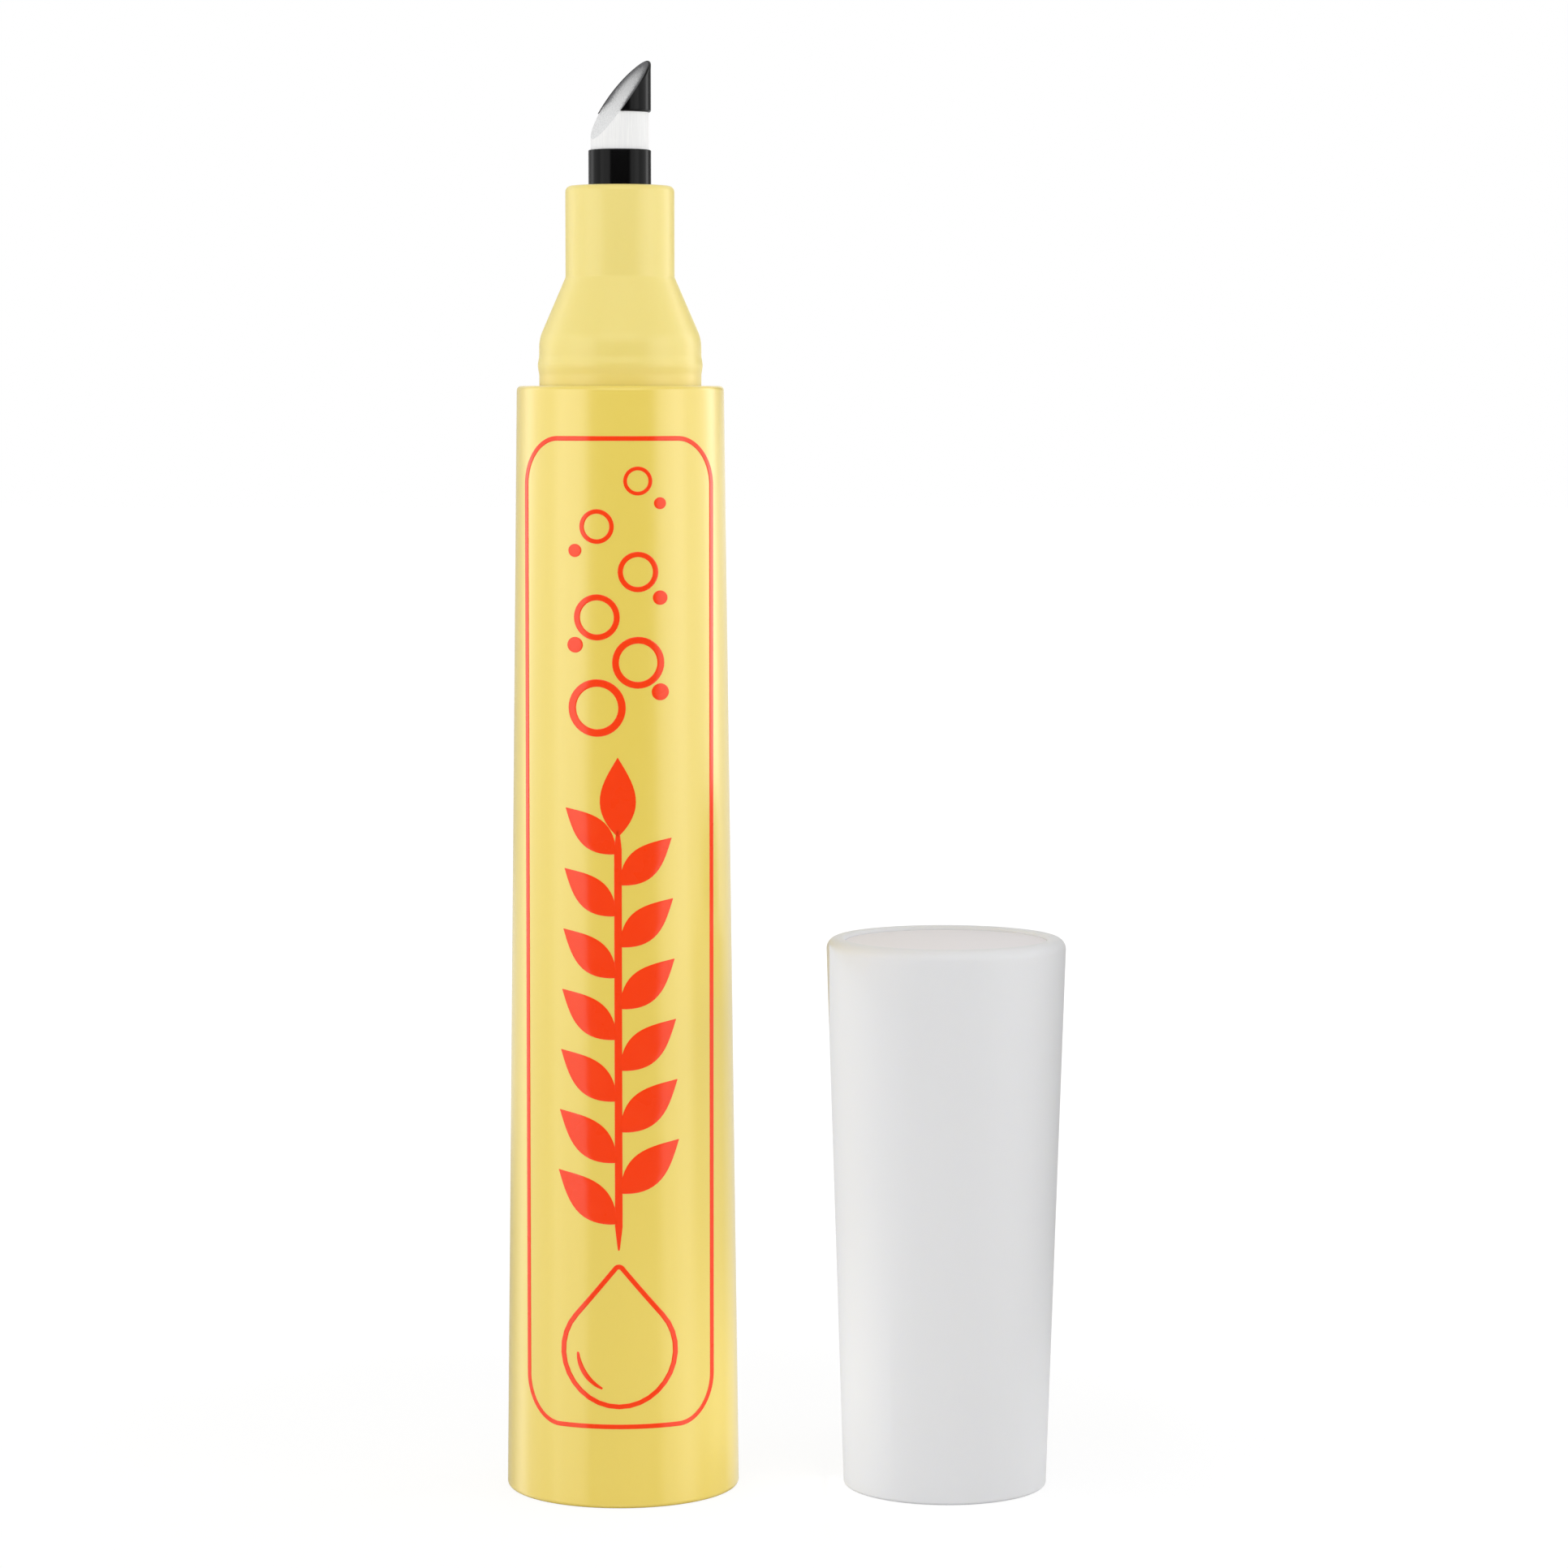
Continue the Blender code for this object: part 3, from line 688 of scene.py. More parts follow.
def drop_outline(low: float, low_radius: float, high: float, high_radius: float) -> list[Point]:
    """The outline that a band round two circles, one above the other, would take.

    Args:
        low: height of the lower circle's centre.
        low_radius: its radius.
        high: height of the upper circle's centre.
        high_radius: its radius.

    Returns:
        The outline's points, anticlockwise.
    """
    tilt = math.asin((low_radius - high_radius) / (high - low))
    upper, lower = (tilt, math.pi - tilt), (math.pi - tilt, math.tau + tilt)
    return [
        *arc((0.0, high), (high_radius, high_radius), upper, CURVE_STEPS),
        *arc((0.0, low), (low_radius, low_radius), lower, CURVE_STEPS)]


def refined(outer: Sequence[Point], inner: Sequence[Point], spacing: float) \
        -> tuple[list[Point], list[Point]]:
    """Two closed outlines with points added at the same places.

    Args:
        outer: one outline.
        inner: the other, with as many points.
        spacing: how far apart the outer one's points may be.

    Returns:
        Both outlines.
    """
    dense: tuple[list[Point], list[Point]] = ([], [])
    for index, start in enumerate(outer):
        after = (index + 1) % len(outer)
        pieces = max(1, math.ceil(math.dist(start, outer[after]) / spacing))
        for share in shares_of(pieces)[:-1]:
            for points, outline in zip(dense, (outer, inner)):
                points.append(along(outline[index], outline[after], share))
    return dense


# Meshes


def mesh_of(vertices: Sequence[Place], faces: Sequence[Sequence[int]] = ()) -> Mesh:
    """A new mesh from plain lists.

    Args:
        vertices: its points.
        faces: the numbers of each face's points.

    Returns:
        The mesh.
    """
    mesh = bpy.data.meshes.new("shape")
    mesh.from_pydata(vertices, (), faces)
    return mesh


def reworked(mesh: Mesh, step: Callable[[bmesh.types.BMesh], object]) -> Mesh:
    """Weld a mesh and change it further.

    Args:
        mesh: the mesh.
        step: what is done to it after that.

    Returns:
        The same mesh.
    """
    shape = bmesh.new()
    shape.from_mesh(mesh)
    bmesh.ops.remove_doubles(shape, verts=shape.verts, dist=WELD_DISTANCE)
    step(shape)
    shape.to_mesh(mesh)
    shape.free()
    return mesh


def joined(*meshes: Mesh) -> Mesh:
    """Make one mesh of several.

    Args:
        *meshes: its parts.

    Returns:
        The whole mesh.
    """
    shape = bmesh.new()
    for mesh in meshes:
        shape.from_mesh(mesh)
    whole = bpy.data.meshes.new("whole")
    shape.to_mesh(whole)
    shape.free()
    return whole


def grid_mesh(rows: Sequence[Sequence[Place]], closed: bool = False) -> Mesh:
    """A mesh through closed rows of points of equal length.

    Args:
        rows: the points.
        closed: join the last row to the first.

    Returns:
        The mesh, all quads.
    """
    height, width = len(rows), len(rows[0])
    faces = []
    for row in range(height if closed else height - 1):
        here, after = row * width, (row + 1) % height * width
        for column in range(width):
            beside = (column + 1) % width
            faces.append((here + column, here + beside, after + beside, after + column))
    return mesh_of([point for row in rows for point in row], faces)


def slab(outline: Sequence[Point], thickness: float) -> Mesh:
    """A flat upright piece.

    Args:
        outline: its (radius, height) points.
        thickness: how thick it is along Y.

    Returns:
        The mesh, half of it on each side of the axis.
    """
    count = len(outline)
    vertices = [(r, side * thickness / 2, z) for side in (-1, 1) for r, z in outline]
    faces = [tuple(range(count)), tuple(range(2 * count - 1, count - 1, -1))]
    for index in range(count):
        after = (index + 1) % count
        faces.append((index, index + count, after + count, after))
    return mesh_of(vertices, faces)


@dataclass(frozen=True)
class SnapRing:
    """A soft ring on a wall, inward where its height is negative."""

    level: float
    width: float
    height: float

    def corners(self, radius_at: Callable[[float], float], base: float = 0.0) -> list[Corner]:
        """Find the profile's corners along the ring.

        Args:
            radius_at: the wall's radius at a height.
            base: where its level is measured from.

        Returns:
            The corners from its top edge down.
        """
        corners = []
        for share in shares_of(BEAD_STEPS):
            offset = 1 - 2 * share
            z = base + self.level + offset * self.width / 2
            corners.append((radius_at(z) + self.height * (1 + math.cos(math.pi * offset)) / 2, z))
        return corners


@dataclass(frozen=True)
class RibSet:
    """Ribs that stand inward from a wall, evenly spread round an axis."""

    count: int
    width: float
    edge_radius: float
    root: float  # how deep they reach into the wall


@dataclass
class Workshop:
    """What every sub-assembly is built with."""

    paints: dict[str, bpy.types.Material] = field(default_factory=dict)
    lathe: LatheTree = field(default_factory=LatheTree)
    ring: RingTree = field(default_factory=RingTree)
    row: RowTree = field(default_factory=RowTree)
    wrap: WrapTree = field(default_factory=WrapTree)

    def paint(self, finish: Finish) -> bpy.types.Material:
        """The material of a finish, made once.

        Args:
            finish: the finish.

        Returns:
            Its material.
        """
        if finish.name not in self.paints:
            self.paints[finish.name] = finish.material()
        return self.paints[finish.name]

    def turned(self, corners: Sequence[Corner], finish: Finish, axis: Vector = Vector()) -> Mesh:
        """A turned mesh.

        Args:
            corners: its profile.
            finish: what it is made of.
            axis: where its axis stands.

        Returns:
            The mesh.
        """
        points = profile(corners)
        return self.lathe.run(mesh_of([(r, 0.0, z) for r, z in points]), {
            "Points": len(points), "Sides": TURN_SIDES, "Axis": axis, "Weld": WELD_DISTANCE,
            "Material": self.paint(finish)})

    def ribbed(self, ribs: RibSet, wall: Sequence[Point], finish: Finish,
               axis: Vector = Vector()) -> Mesh:
        """A mesh of ribs.

        Args:
            ribs: their number and sizes.
            wall: the wall's (radius, height) points from the ribs' lower end to their upper one.
            finish: what they are made of.
            axis: where their axis stands.

        Returns:
            The mesh.
        """
        outline = [
            (ribs.edge_radius, wall[0][1]), *((r + ribs.root, z) for r, z in wall),
            (ribs.edge_radius, wall[-1][1])]
        return self.ring.run(slab(outline, ribs.width), {
            "Count": ribs.count, "Axis": axis, "Material": self.paint(finish)})

    def piece(self, name: str, mesh: Mesh, finish: Finish, body: Body, *nodes: str) -> None:
        """Finish a piece, put it in the scene and let it ride.

        Args:
            name: the piece's name.
            mesh: its mesh, in place.
            finish: what it is made of.
            body: the body that it moves with.
            *nodes: the CAD nodes that it stands for.
        """
        reworked(mesh, lambda shape: bmesh.ops.recalc_face_normals(shape, faces=shape.faces))
        mesh.shade_smooth()
        mesh.set_sharp_from_angle(angle=SHARP_ANGLE)
        mesh.name = name
        mesh.materials.clear()
        mesh.materials.append(self.paint(finish))
        made = placed(name, mesh)
        if nodes:
            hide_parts(*nodes)
        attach(made, body.value)
        log.info("%s: %d faces, %s, rides %s", name, len(mesh.polygons), finish.name, body.value)

    def dress_node(self, node: str, finish: Finish) -> None:
        """Give a CAD node that stays a better material.

        Args:
            node: the node's name.
            finish: what it is made of.
        """
        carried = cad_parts[node]
        carried.data.materials.clear()
        carried.data.materials.append(self.paint(finish))
        log.info("%s: CAD node kept, %s", node, finish.name)


# Sub-assemblies


@dataclass
class Assembly:
    """A sub-assembly that a workshop builds."""

    shop: Workshop

    def build(self) -> None:
        """Build and dress its pieces."""
        raise NotImplementedError


@dataclass
class Barrel(Assembly):
    """The drafted yellow barrel and the plug that closes its base."""

    top_radius: float = 7.67 * MM
    wall: float = 1.4 * MM
    edge: float = 0.35 * MM
    seat_radius: float = 6.05 * MM
    seat_length: float = 4.5 * MM
    undercut: float = 0.22 * MM
    ribs: RibSet = RibSet(6, 0.8 * MM, 5.55 * MM, 0.5 * MM)
    rib_ends: Point = (6.2 * MM, 73.8 * MM)
    press_fit: float = 0.05 * MM
    plug_length: float = 6.0 * MM
    plug_floor: float = 1.2 * MM
    plug_wall: float = 1.0 * MM
    plug_chamfer: float = 0.25 * MM
    plug_rounding: float = 0.4 * MM
    snap: SnapRing = SnapRing(3.4 * MM, 1.2 * MM, 0.12 * MM)
    base_radius: float = field(init=False)
    length: float = field(init=False)

    def __post_init__(self) -> None:
        """Take the main sizes from the CAD parts."""
        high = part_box("barrel")[1]
        self.base_radius, self.length = high.x, high.z

    def outside(self, height: float) -> float:
        """The barrel's outer radius at a height."""
        return self.base_radius + (self.top_radius - self.base_radius) * height / self.length

    def bore(self, height: float) -> float:
        """The barrel's inner radius at a height."""
        return self.outside(height) - self.wall

    def plug_outside(self, height: float) -> float:
        """The end plug's outer radius at a height."""
        return self.bore(height) - self.press_fit

    def shell_mesh(self) -> Mesh:
        """The drafted tube, its groove, seat and ribs.

        Returns:
            The mesh.
        """
        seat_end = self.length - self.seat_length
        shell = self.shop.turned([
            (self.seat_radius, self.length),
            (self.top_radius, self.length, self.edge),
            (self.base_radius, 0.0, self.edge),
            (self.bore(0.0), 0.0),
            *reversed(self.snap.corners(self.bore)),
            (self.bore(seat_end), seat_end),
            (self.seat_radius, seat_end + self.undercut),
        ], YELLOW_BARREL)
        wall = [(self.bore(level), level) for level in self.rib_ends]
        return joined(shell, self.shop.ribbed(self.ribs, wall, YELLOW_BARREL))

    def plug_mesh(self) -> Mesh:
        """The cup that is pressed into the barrel's base.

        Returns:
            The mesh.
        """
        foot, rim = self.plug_outside(0.0), self.plug_outside(self.plug_length)
        return self.shop.turned([
            (0.0, self.plug_floor),
            (foot - self.plug_wall, self.plug_floor, self.plug_rounding),
            (rim - self.plug_wall, self.plug_length),
            (rim, self.plug_length, self.plug_chamfer),
            *self.snap.corners(self.plug_outside),
            (foot, 0.0, self.plug_chamfer),
            (0.0, 0.0),
        ], YELLOW_BARREL)

    def build(self) -> None:
        """Build and dress both pieces."""
        self.shop.piece("barrel_moulding", self.shell_mesh(), YELLOW_BARREL, Body.PEN, "barrel")
        self.shop.piece("end_plug_moulding", self.plug_mesh(), YELLOW_BARREL, Body.PEN, "end_plug")


@dataclass
class Reservoir(Assembly):
    """The fibre rod and its film, hidden in the barrel."""

    def build(self) -> None:
        """Dress the two CAD nodes."""
        self.shop.dress_node("reservoir_fibre", RESERVOIR_FIBRE)
        self.shop.dress_node("reservoir_film", CLEAR_FILM)


@dataclass
class FrontSection(Assembly):
    """The paler moulding: neck, cone, capping base with its snap ring, and spigot."""

    barrel_length: float
    neck_radius: float = 4.03 * MM
    neck_edge: float = 0.45 * MM
    neck_root_rounding: float = 0.5 * MM
    neck_bore: float = 3.0 * MM
    mouth_radius: float = 2.37 * MM
    mouth_edge: float = 0.08 * MM
    lip: float = 1.0 * MM
    base_radius: float = 6.0 * MM
    base_length: float = 3.45 * MM
    cone_length: float = 4.55 * MM
    cone_foot_rounding: float = 3.0 * MM
    wall: float = 1.2 * MM
    cap_ring: SnapRing = SnapRing(1.5 * MM, 1.6 * MM, 0.1 * MM)
    barrel_ring: SnapRing = SnapRing(77.45 * MM, 1.0 * MM, 0.18 * MM)
    spigot_chamfer: float = 0.3 * MM
    fins: RibSet = RibSet(6, 0.7 * MM, 2.19 * MM, 0.4 * MM)
    fin_inset: float = 2.0 * MM
    fin_top: float = 87.8 * MM

    def side(self, _height: float) -> float:
        """The moulding's radius at any height below the cone."""
        return self.base_radius

    def mesh(self) -> Mesh:
        """The whole moulding.

        Returns:
            The mesh.
        """
        low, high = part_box("front_section")
        foot = self.barrel_length + self.base_length
        root = foot + self.cone_length
        bore = self.base_radius - self.wall
        body = self.shop.turned([
            (self.mouth_radius, high.z, self.mouth_edge),
            (self.neck_radius, high.z, self.neck_edge),
            (self.neck_radius, root, self.neck_root_rounding),
            (self.base_radius, foot, self.cone_foot_rounding),
            *self.cap_ring.corners(self.side, self.barrel_length),
            *self.barrel_ring.corners(self.side),
            (self.base_radius, low.z, self.spigot_chamfer),
            (bore, low.z),
            (bore, foot - self.wall),
            (self.neck_bore, root - self.wall),
            (self.neck_bore, high.z - self.lip),
            (self.mouth_radius, high.z - self.lip),
        ], YELLOW_SECTION)
        wall = [
            (bore, low.z + self.fin_inset), (bore, foot - self.wall),
            (self.neck_bore, self.fin_top)]
        return joined(body, self.shop.ribbed(self.fins, wall, YELLOW_SECTION))

    def build(self) -> None:
        """Build and dress the moulding."""
        self.shop.piece(
            "front_section_moulding", self.mesh(), YELLOW_SECTION, Body.PEN, "front_section")


@dataclass
class GroundFace:
    """The slanted arc that the nib's end is ground to, its edge broken where the skin is."""

    heel: Vector
    apex: Vector
    break_level: float
    radius: float = 50.0 * MM
    turn: float = 25.0 * DEGREE
    edge_break: float = 0.12 * MM
    fade: float = 3.5 * MM
    probe: float = 0.05 * MM

    def cut(self, at_radius: float, turn: float) -> float:
        """How high the arc passes over a point of the plan.

        Args:
            at_radius: distance from the axis.
            turn: direction from the axis.

        Returns:
            The height above the floor.
        """
        chord = self.apex - self.heel
        sagging = Vector((chord.y, -chord.x)).normalized()
        depth = math.sqrt(self.radius**2 - (chord.length / 2) ** 2)
        centre = (self.heel + self.apex) / 2 + sagging * depth
        across = at_radius * math.cos(turn - self.turn)
        return centre.y + math.sqrt(self.radius**2 - (across - centre.x) ** 2)

    def height(self, at_radius: float, turn: float) -> float:
        """How high the ground end is, with the broken edge.

        Args:
            at_radius: distance from the axis.
            turn: direction from the axis.

        Returns:
            The height above the floor.
        """
        outer = self.apex.x
        edge = self.cut(outer, turn)
        slope = (edge - self.cut(outer - self.probe, turn)) / self.probe
        steep = math.hypot(1.0, slope)
        share = min(1.0, max(0.0, (edge - self.break_level) / self.fade)) ** 2
        rounding, inset = self.edge_break * share, outer - at_radius
        if inset >= rounding * (1 + slope / steep):
            return self.cut(at_radius, turn)
        wall_top = edge - rounding * (slope + steep)
        return wall_top + math.sqrt(max(0.0, rounding**2 - (inset - rounding) ** 2))


@dataclass
class Nib(Assembly):
    """The felt, the black sleeve that grips it and the black skin round its tip."""

    felt_radius: float = 2.14 * MM
    sleeve_radius: float = 2.32 * MM
    sleeve_bore: float = 2.17 * MM
    sleeve_edge: float = 0.2 * MM
    sleeve_bore_edge: float = 0.03 * MM
    flange_radius: float = 2.9 * MM
    flange_top: float = 96.15 * MM
    flange_thickness: float = 0.8 * MM
    window_height: float = 2.74 * MM
    heel_height: float = 0.8 * MM
    flat: float = 0.3 * MM
    tail_edge: float = 0.3 * MM
    face_edge: float = 0.07 * MM
    skin_edge: float = 0.18 * MM
    skin_edge_share: float = 1 / 3
    grip_depth: float = 1.0 * MM
    darkening_strength: float = 0.85
    darkening_width: float = 0.75 * MM
    darkening_skew: float = 0.4
    darkening_start: float = 0.3 * MM
    darkening_fade: float = 1.2 * MM
    columns: int = 160
    shank_rows: int = 8
    wall_rows: int = 28
    face_rings: int = 26
    ring_spread: float = 1.6
    skin_rows: int = 20
    lid_rows: int = 8
    search_step: float = 0.25 * DEGREE
    sleeve_top: float = field(init=False)
    window: float = field(init=False)
    face: GroundFace = field(init=False)

    def __post_init__(self) -> None:
        """Take the main sizes from the CAD parts."""
        self.sleeve_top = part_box("nib_sleeve")[1].z
        self.window = self.sleeve_top + self.window_height
        self.face = GroundFace(
            Vector((-self.felt_radius, self.sleeve_top + self.heel_height)),
            Vector((self.sleeve_radius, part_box("pusher_tip")[1].z + self.flat)), self.window)

    def sleeve_mesh(self) -> Mesh:
        """The sleeve with its flange.

        Returns:
            The mesh.
        """
        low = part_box("nib_sleeve")[0].z
        flange_low = self.flange_top - self.flange_thickness
        return self.shop.turned([
            (self.sleeve_bore, self.sleeve_top, self.sleeve_bore_edge),
            (self.sleeve_radius, self.sleeve_top, self.sleeve_edge),
            (self.sleeve_radius, self.flange_top),
            (self.flange_radius, self.flange_top),
            (self.flange_radius, flange_low),
            (self.sleeve_radius, flange_low),
            (self.sleeve_radius, low),
            (self.sleeve_bore, low),
        ], BLACK_PLASTIC)

    def darkening(self, at_radius: float, turn: float, height: float) -> float:
        """How much darker the ground felt is near the skin's rim.

        Args:
            at_radius: distance from the axis.
            turn: direction from the axis.
            height: height above the floor.

        Returns:
            The smear, 0 to 1.
        """
        skinned = min(1.0, max(0.0, (height - self.window + self.darkening_start) / self.darkening_fade))
        width = self.darkening_width * (1 + self.darkening_skew * math.sin(turn - self.face.turn))
        return self.darkening_strength * skinned * math.exp((at_radius - self.felt_radius) / width)

    def felt_mesh(self) -> Mesh:
        """The felt rod, its tail rounded and its end ground.

        Returns:
            The mesh, with what each of its points carries for the finish.
        """
        bottom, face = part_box("felt_nib")[0].z, self.face
        radius, edge = self.felt_radius, self.tail_edge
        grip = self.sleeve_top - self.grip_depth
        turns = [math.tau * column / self.columns for column in range(self.columns)]
        rows: list[list[Place]] = []
        marks: dict[str, list[float]] = {"ground_face": [], "toward_apex": [], "rim_darkening": []}

        def add_ring(at_radius: float, height_at: Callable[[float], float],
                     on_face: bool = False) -> None:
            """Add a ring of points and what each carries.

            Args:
                at_radius: its radius.
                height_at: its height at a turn.
                on_face: whether it lies on the ground face.
            """
            row = []
            for turn in turns:
                height = height_at(turn)
                row.append((at_radius * math.cos(turn), at_radius * math.sin(turn), height))
                rise = (height - face.heel.y) / (face.apex.y - face.heel.y)
                marks["ground_face"].append(float(on_face))
                marks["toward_apex"].append(max(0.0, rise))
                marks["rim_darkening"].append(
                    self.darkening(at_radius, turn, height) if on_face else 0.0)
            rows.append(row)

        tail = arc((radius - edge, bottom + edge), (edge, edge), (-QUARTER, 0.0), EDGE_STEPS)
        shank = line((radius, bottom + edge), (radius, grip), self.shank_rows)
        for at_radius, level in [(0.0, bottom), *tail, *shank]:
            add_ring(at_radius, lambda _turn: level)
        for share in shares_of(self.wall_rows)[1:]:
            add_ring(radius, lambda turn: grip + share * (
                face.height(radius, turn) - self.face_edge - grip))
        for share in shares_of(self.face_rings)[1:]:
            at_radius = radius * (1 - share**self.ring_spread)
            droop = max(0.0, 1 - (radius - at_radius) / self.face_edge)
            drop = self.face_edge * (1 - math.sqrt(1 - droop**2))
            add_ring(at_radius, lambda turn: face.height(at_radius, turn) - drop, True)
        mesh = grid_mesh(rows)
        for name, values in marks.items():
            mesh.attributes.new(name, "FLOAT", "POINT").data.foreach_set("value", values)
        return mesh

    def skin_span(self) -> list[float]:
        """Search for where the skin ends.

        Returns:
            The first and last turn at which it has any height.
        """
        ends = []
        for direction in (-1, 1):
            turn = self.face.turn
            while self.face.cut(self.sleeve_radius, turn) > self.window:
                turn += direction * self.search_step
            ends.append(turn)
        return ends

    def skin_mesh(self) -> Mesh:
        """The black skin from the window's edge up to the ground face.

        Returns:
            The mesh.
        """
        outer, inner, window = self.sleeve_radius, self.sleeve_bore, self.window
        first, last = self.skin_span()
        rows = []
        for share in shares_of(self.columns):
            turn = first + (last - first) * eased(share)
            top = max(window, self.face.height(outer, turn))
            edge = min(self.skin_edge, (top - window) * self.skin_edge_share)
            points = [
                (inner, window),
                *arc((outer - edge, window + edge), (edge, edge), (-QUARTER, 0.0), EDGE_STEPS),
                *line((outer, window + edge), (outer, top), self.skin_rows)]
            for radius, _ in line((outer, top), (inner, top), self.lid_rows):
                points.append((radius, max(window, self.face.height(radius, turn))))
            rows.append([(r * math.cos(turn), r * math.sin(turn), z) for r, z in points])
        return reworked(
            grid_mesh(rows),
            lambda shape: bmesh.ops.holes_fill(shape, edges=shape.edges, sides=0))

    def build(self) -> None:
        """Build and dress the three pieces."""
        for name, mesh, finish, node in (
            ("nib_sleeve_moulding", self.sleeve_mesh(), BLACK_PLASTIC, "nib_sleeve"),
            ("felt_nib_ground", self.felt_mesh(), WHITE_FELT, "felt_nib"),
            ("pusher_tip_skin", self.skin_mesh(), BLACK_PLASTIC, "pusher_tip"),
        ):
            self.shop.piece(name, mesh, finish, Body.PEN, node)


@dataclass(frozen=True)
class Row:
    """How a motif repeats up the panel, on alternate sides."""

    count: int
    start: float
    pitch: float
    shift: float
    sizes: Point
    lean: float = 0.0


@dataclass
class PrintedPanel(Assembly):
    """The print on the barrel's front: a rounded frame line with a generic design in it.

    Flat shapes are drawn as they look from the front, then laid on the barrel.
    """

    barrel: Barrel
    lift: float = 0.03 * MM
    sink: float = 0.05 * MM
    spacing: float = 0.35 * MM
    frame_half_width: float = 6.9 * MM
    frame_ends: Point = (5.97 * MM, 78.85 * MM)
    frame_line: Point = (0.27 * MM, 0.34 * MM)
    frame_corner: Point = (2.5 * MM, 3.6 * MM)
    stem_ends: Point = (18.9 * MM, 50.9 * MM)
    stem_half_width: float = 0.28 * MM
    stem_tip: float = 0.1
    stem_taper: float = 14.0
    stem_fade: float = 60.0
    stem_steps: int = 90
    crown_overlap: float = 1.2 * MM
    leaf_length: float = 5.8 * MM
    leaf_half_width: float = 1.32 * MM
    leaf_fullness: float = 0.85
    leaf_fade: float = 200.0
    leaf_steps: int = 22
    leaves: Row = Row(13, 21.2 * MM, 2.27 * MM, 0.14 * MM, (1.0, 0.86), 48 * DEGREE)
    bubble_radius: float = 2.1 * MM
    bubble_line: float = 0.55 * MM
    bubbles: Row = Row(6, 59.1 * MM, 3.3 * MM, 1.5 * MM, (1.0, 0.5))
    dot_radius: float = 0.62 * MM
    dots: Row = Row(5, 60.255 * MM, 3.432 * MM, -3.1 * MM, (1.0, 0.7))
    drop_radius: float = 4.3 * MM
    drop_level: float = 11.75 * MM
    drop_tip_level: float = 17.7 * MM
    drop_tip_radius: float = 0.5 * MM
    drop_line: float = 0.36 * MM
    shine_inset: float = 1.25 * MM
    shine_span: Point = (0.98 * math.pi, 1.4 * math.pi)
    shine_fullness: float = 0.6
    shine_fade: float = 8.0
    shine_steps: int = 30

    def band(self, outer: Sequence[Point], inner: Sequence[Point], closed: bool,
             rim: Rim = Rim.BOTH, lifts: Sequence[float] = ()) -> Mesh:
        """A raised flat band between two outlines.

        Args:
            outer: the outline on one side.
            inner: the outline on the other, with as many points.
            closed: join the ends.
            rim: which borders are soft edges.
            lifts: how much of the lift each point has, all of it if empty.

        Returns:
            The flat mesh of (across, lift, height) points.
        """
        rows = []
        for start, end, part in zip(outer, inner, lifts or [1.0] * len(outer)):
            row = []
            for share, up in rim.value:
                across, height = along(start, end, share)
                rise = up * (self.lift if up > 0 else self.sink) + self.sink
                row.append((across, rise * part - self.sink, height))
            rows.append(row)
        return grid_mesh(rows, closed)

    def stroke(self, shares: Sequence[float], fade: float,
               border: Callable[[float, int], Point]) -> Mesh:
        """A band along a line, low at both ends.

        Args:
            shares: where it has points, as shares of its length.
            fade: how fast its lift grows from each end.
            border: its border's point at a share, on the side -1 or 1.

        Returns:
            The flat mesh.
        """
        left, right = ([border(share, side) for share in shares] for side in (-1, 1))
        lifts = [min(1.0, fade * share, fade * (1 - share)) for share in shares]
        return self.band(left, right, False, lifts=lifts)

    def row_of(self, motif: Mesh, row: Row) -> Mesh:
        """Repeat a motif up the panel.

        Args:
            motif: its flat mesh.
            row: how it repeats.

        Returns:
            The flat mesh.
        """
        return self.shop.row.run(motif, {
            "Count": row.count, "Start": Vector((0.0, 0.0, row.start)), "Pitch": row.pitch,
            "Side Shift": row.shift, "Lean": row.lean, "First Size": row.sizes[0],
            "Last Size": row.sizes[1], "Material": self.shop.paint(ORANGE_INK)})

    def rounded_frame(self, inset_side: float, inset_end: float) -> list[Point]:
        """The frame's outline, with elliptical corners.

        Args:
            inset_side: how far it is inset at its sides.
            inset_end: how far it is inset at its ends.

        Returns:
            The outline's points, anticlockwise.
        """
        wide, tall = self.frame_corner
        right = self.frame_half_width - wide
        low, high = self.frame_ends[0] + tall, self.frame_ends[1] - tall
        centres = (right, high), (-right, high), (-right, low), (right, low)
        outline = []
        for index, centre in enumerate(centres):
            span = QUARTER * index, QUARTER * (index + 1)
            outline += arc(centre, (wide - inset_side, tall - inset_end), span, CURVE_STEPS)
        return outline

    def frame_mesh(self) -> Mesh:
        """The flat frame line."""
        outlines = self.rounded_frame(0.0, 0.0), self.rounded_frame(*self.frame_line)
        return self.band(*refined(*outlines, self.spacing), True)

    def leaf_mesh(self) -> Mesh:
        """One flat leaf that grows from the origin along +Z.

        Returns:
            The flat mesh.
        """
        def border(share: float, side: int) -> Point:
            """A border of the leaf."""
            width = self.leaf_half_width * math.sin(math.pi * share**self.leaf_fullness)
            return (side * width, self.leaf_length * share)

        return self.stroke(list(map(eased, shares_of(self.leaf_steps))), self.leaf_fade, border)

    def sprig_mesh(self) -> Mesh:
        """The flat stem with leaves on alternate sides and one at its end.

        Returns:
            The flat mesh.
        """
        low, high = self.stem_ends

        def border(share: float, side: int) -> Point:
            """A border of the stem."""
            full = min(1.0, self.stem_tip + self.stem_taper * min(share, 1 - share))
            return (side * self.stem_half_width * full, low + (high - low) * share)

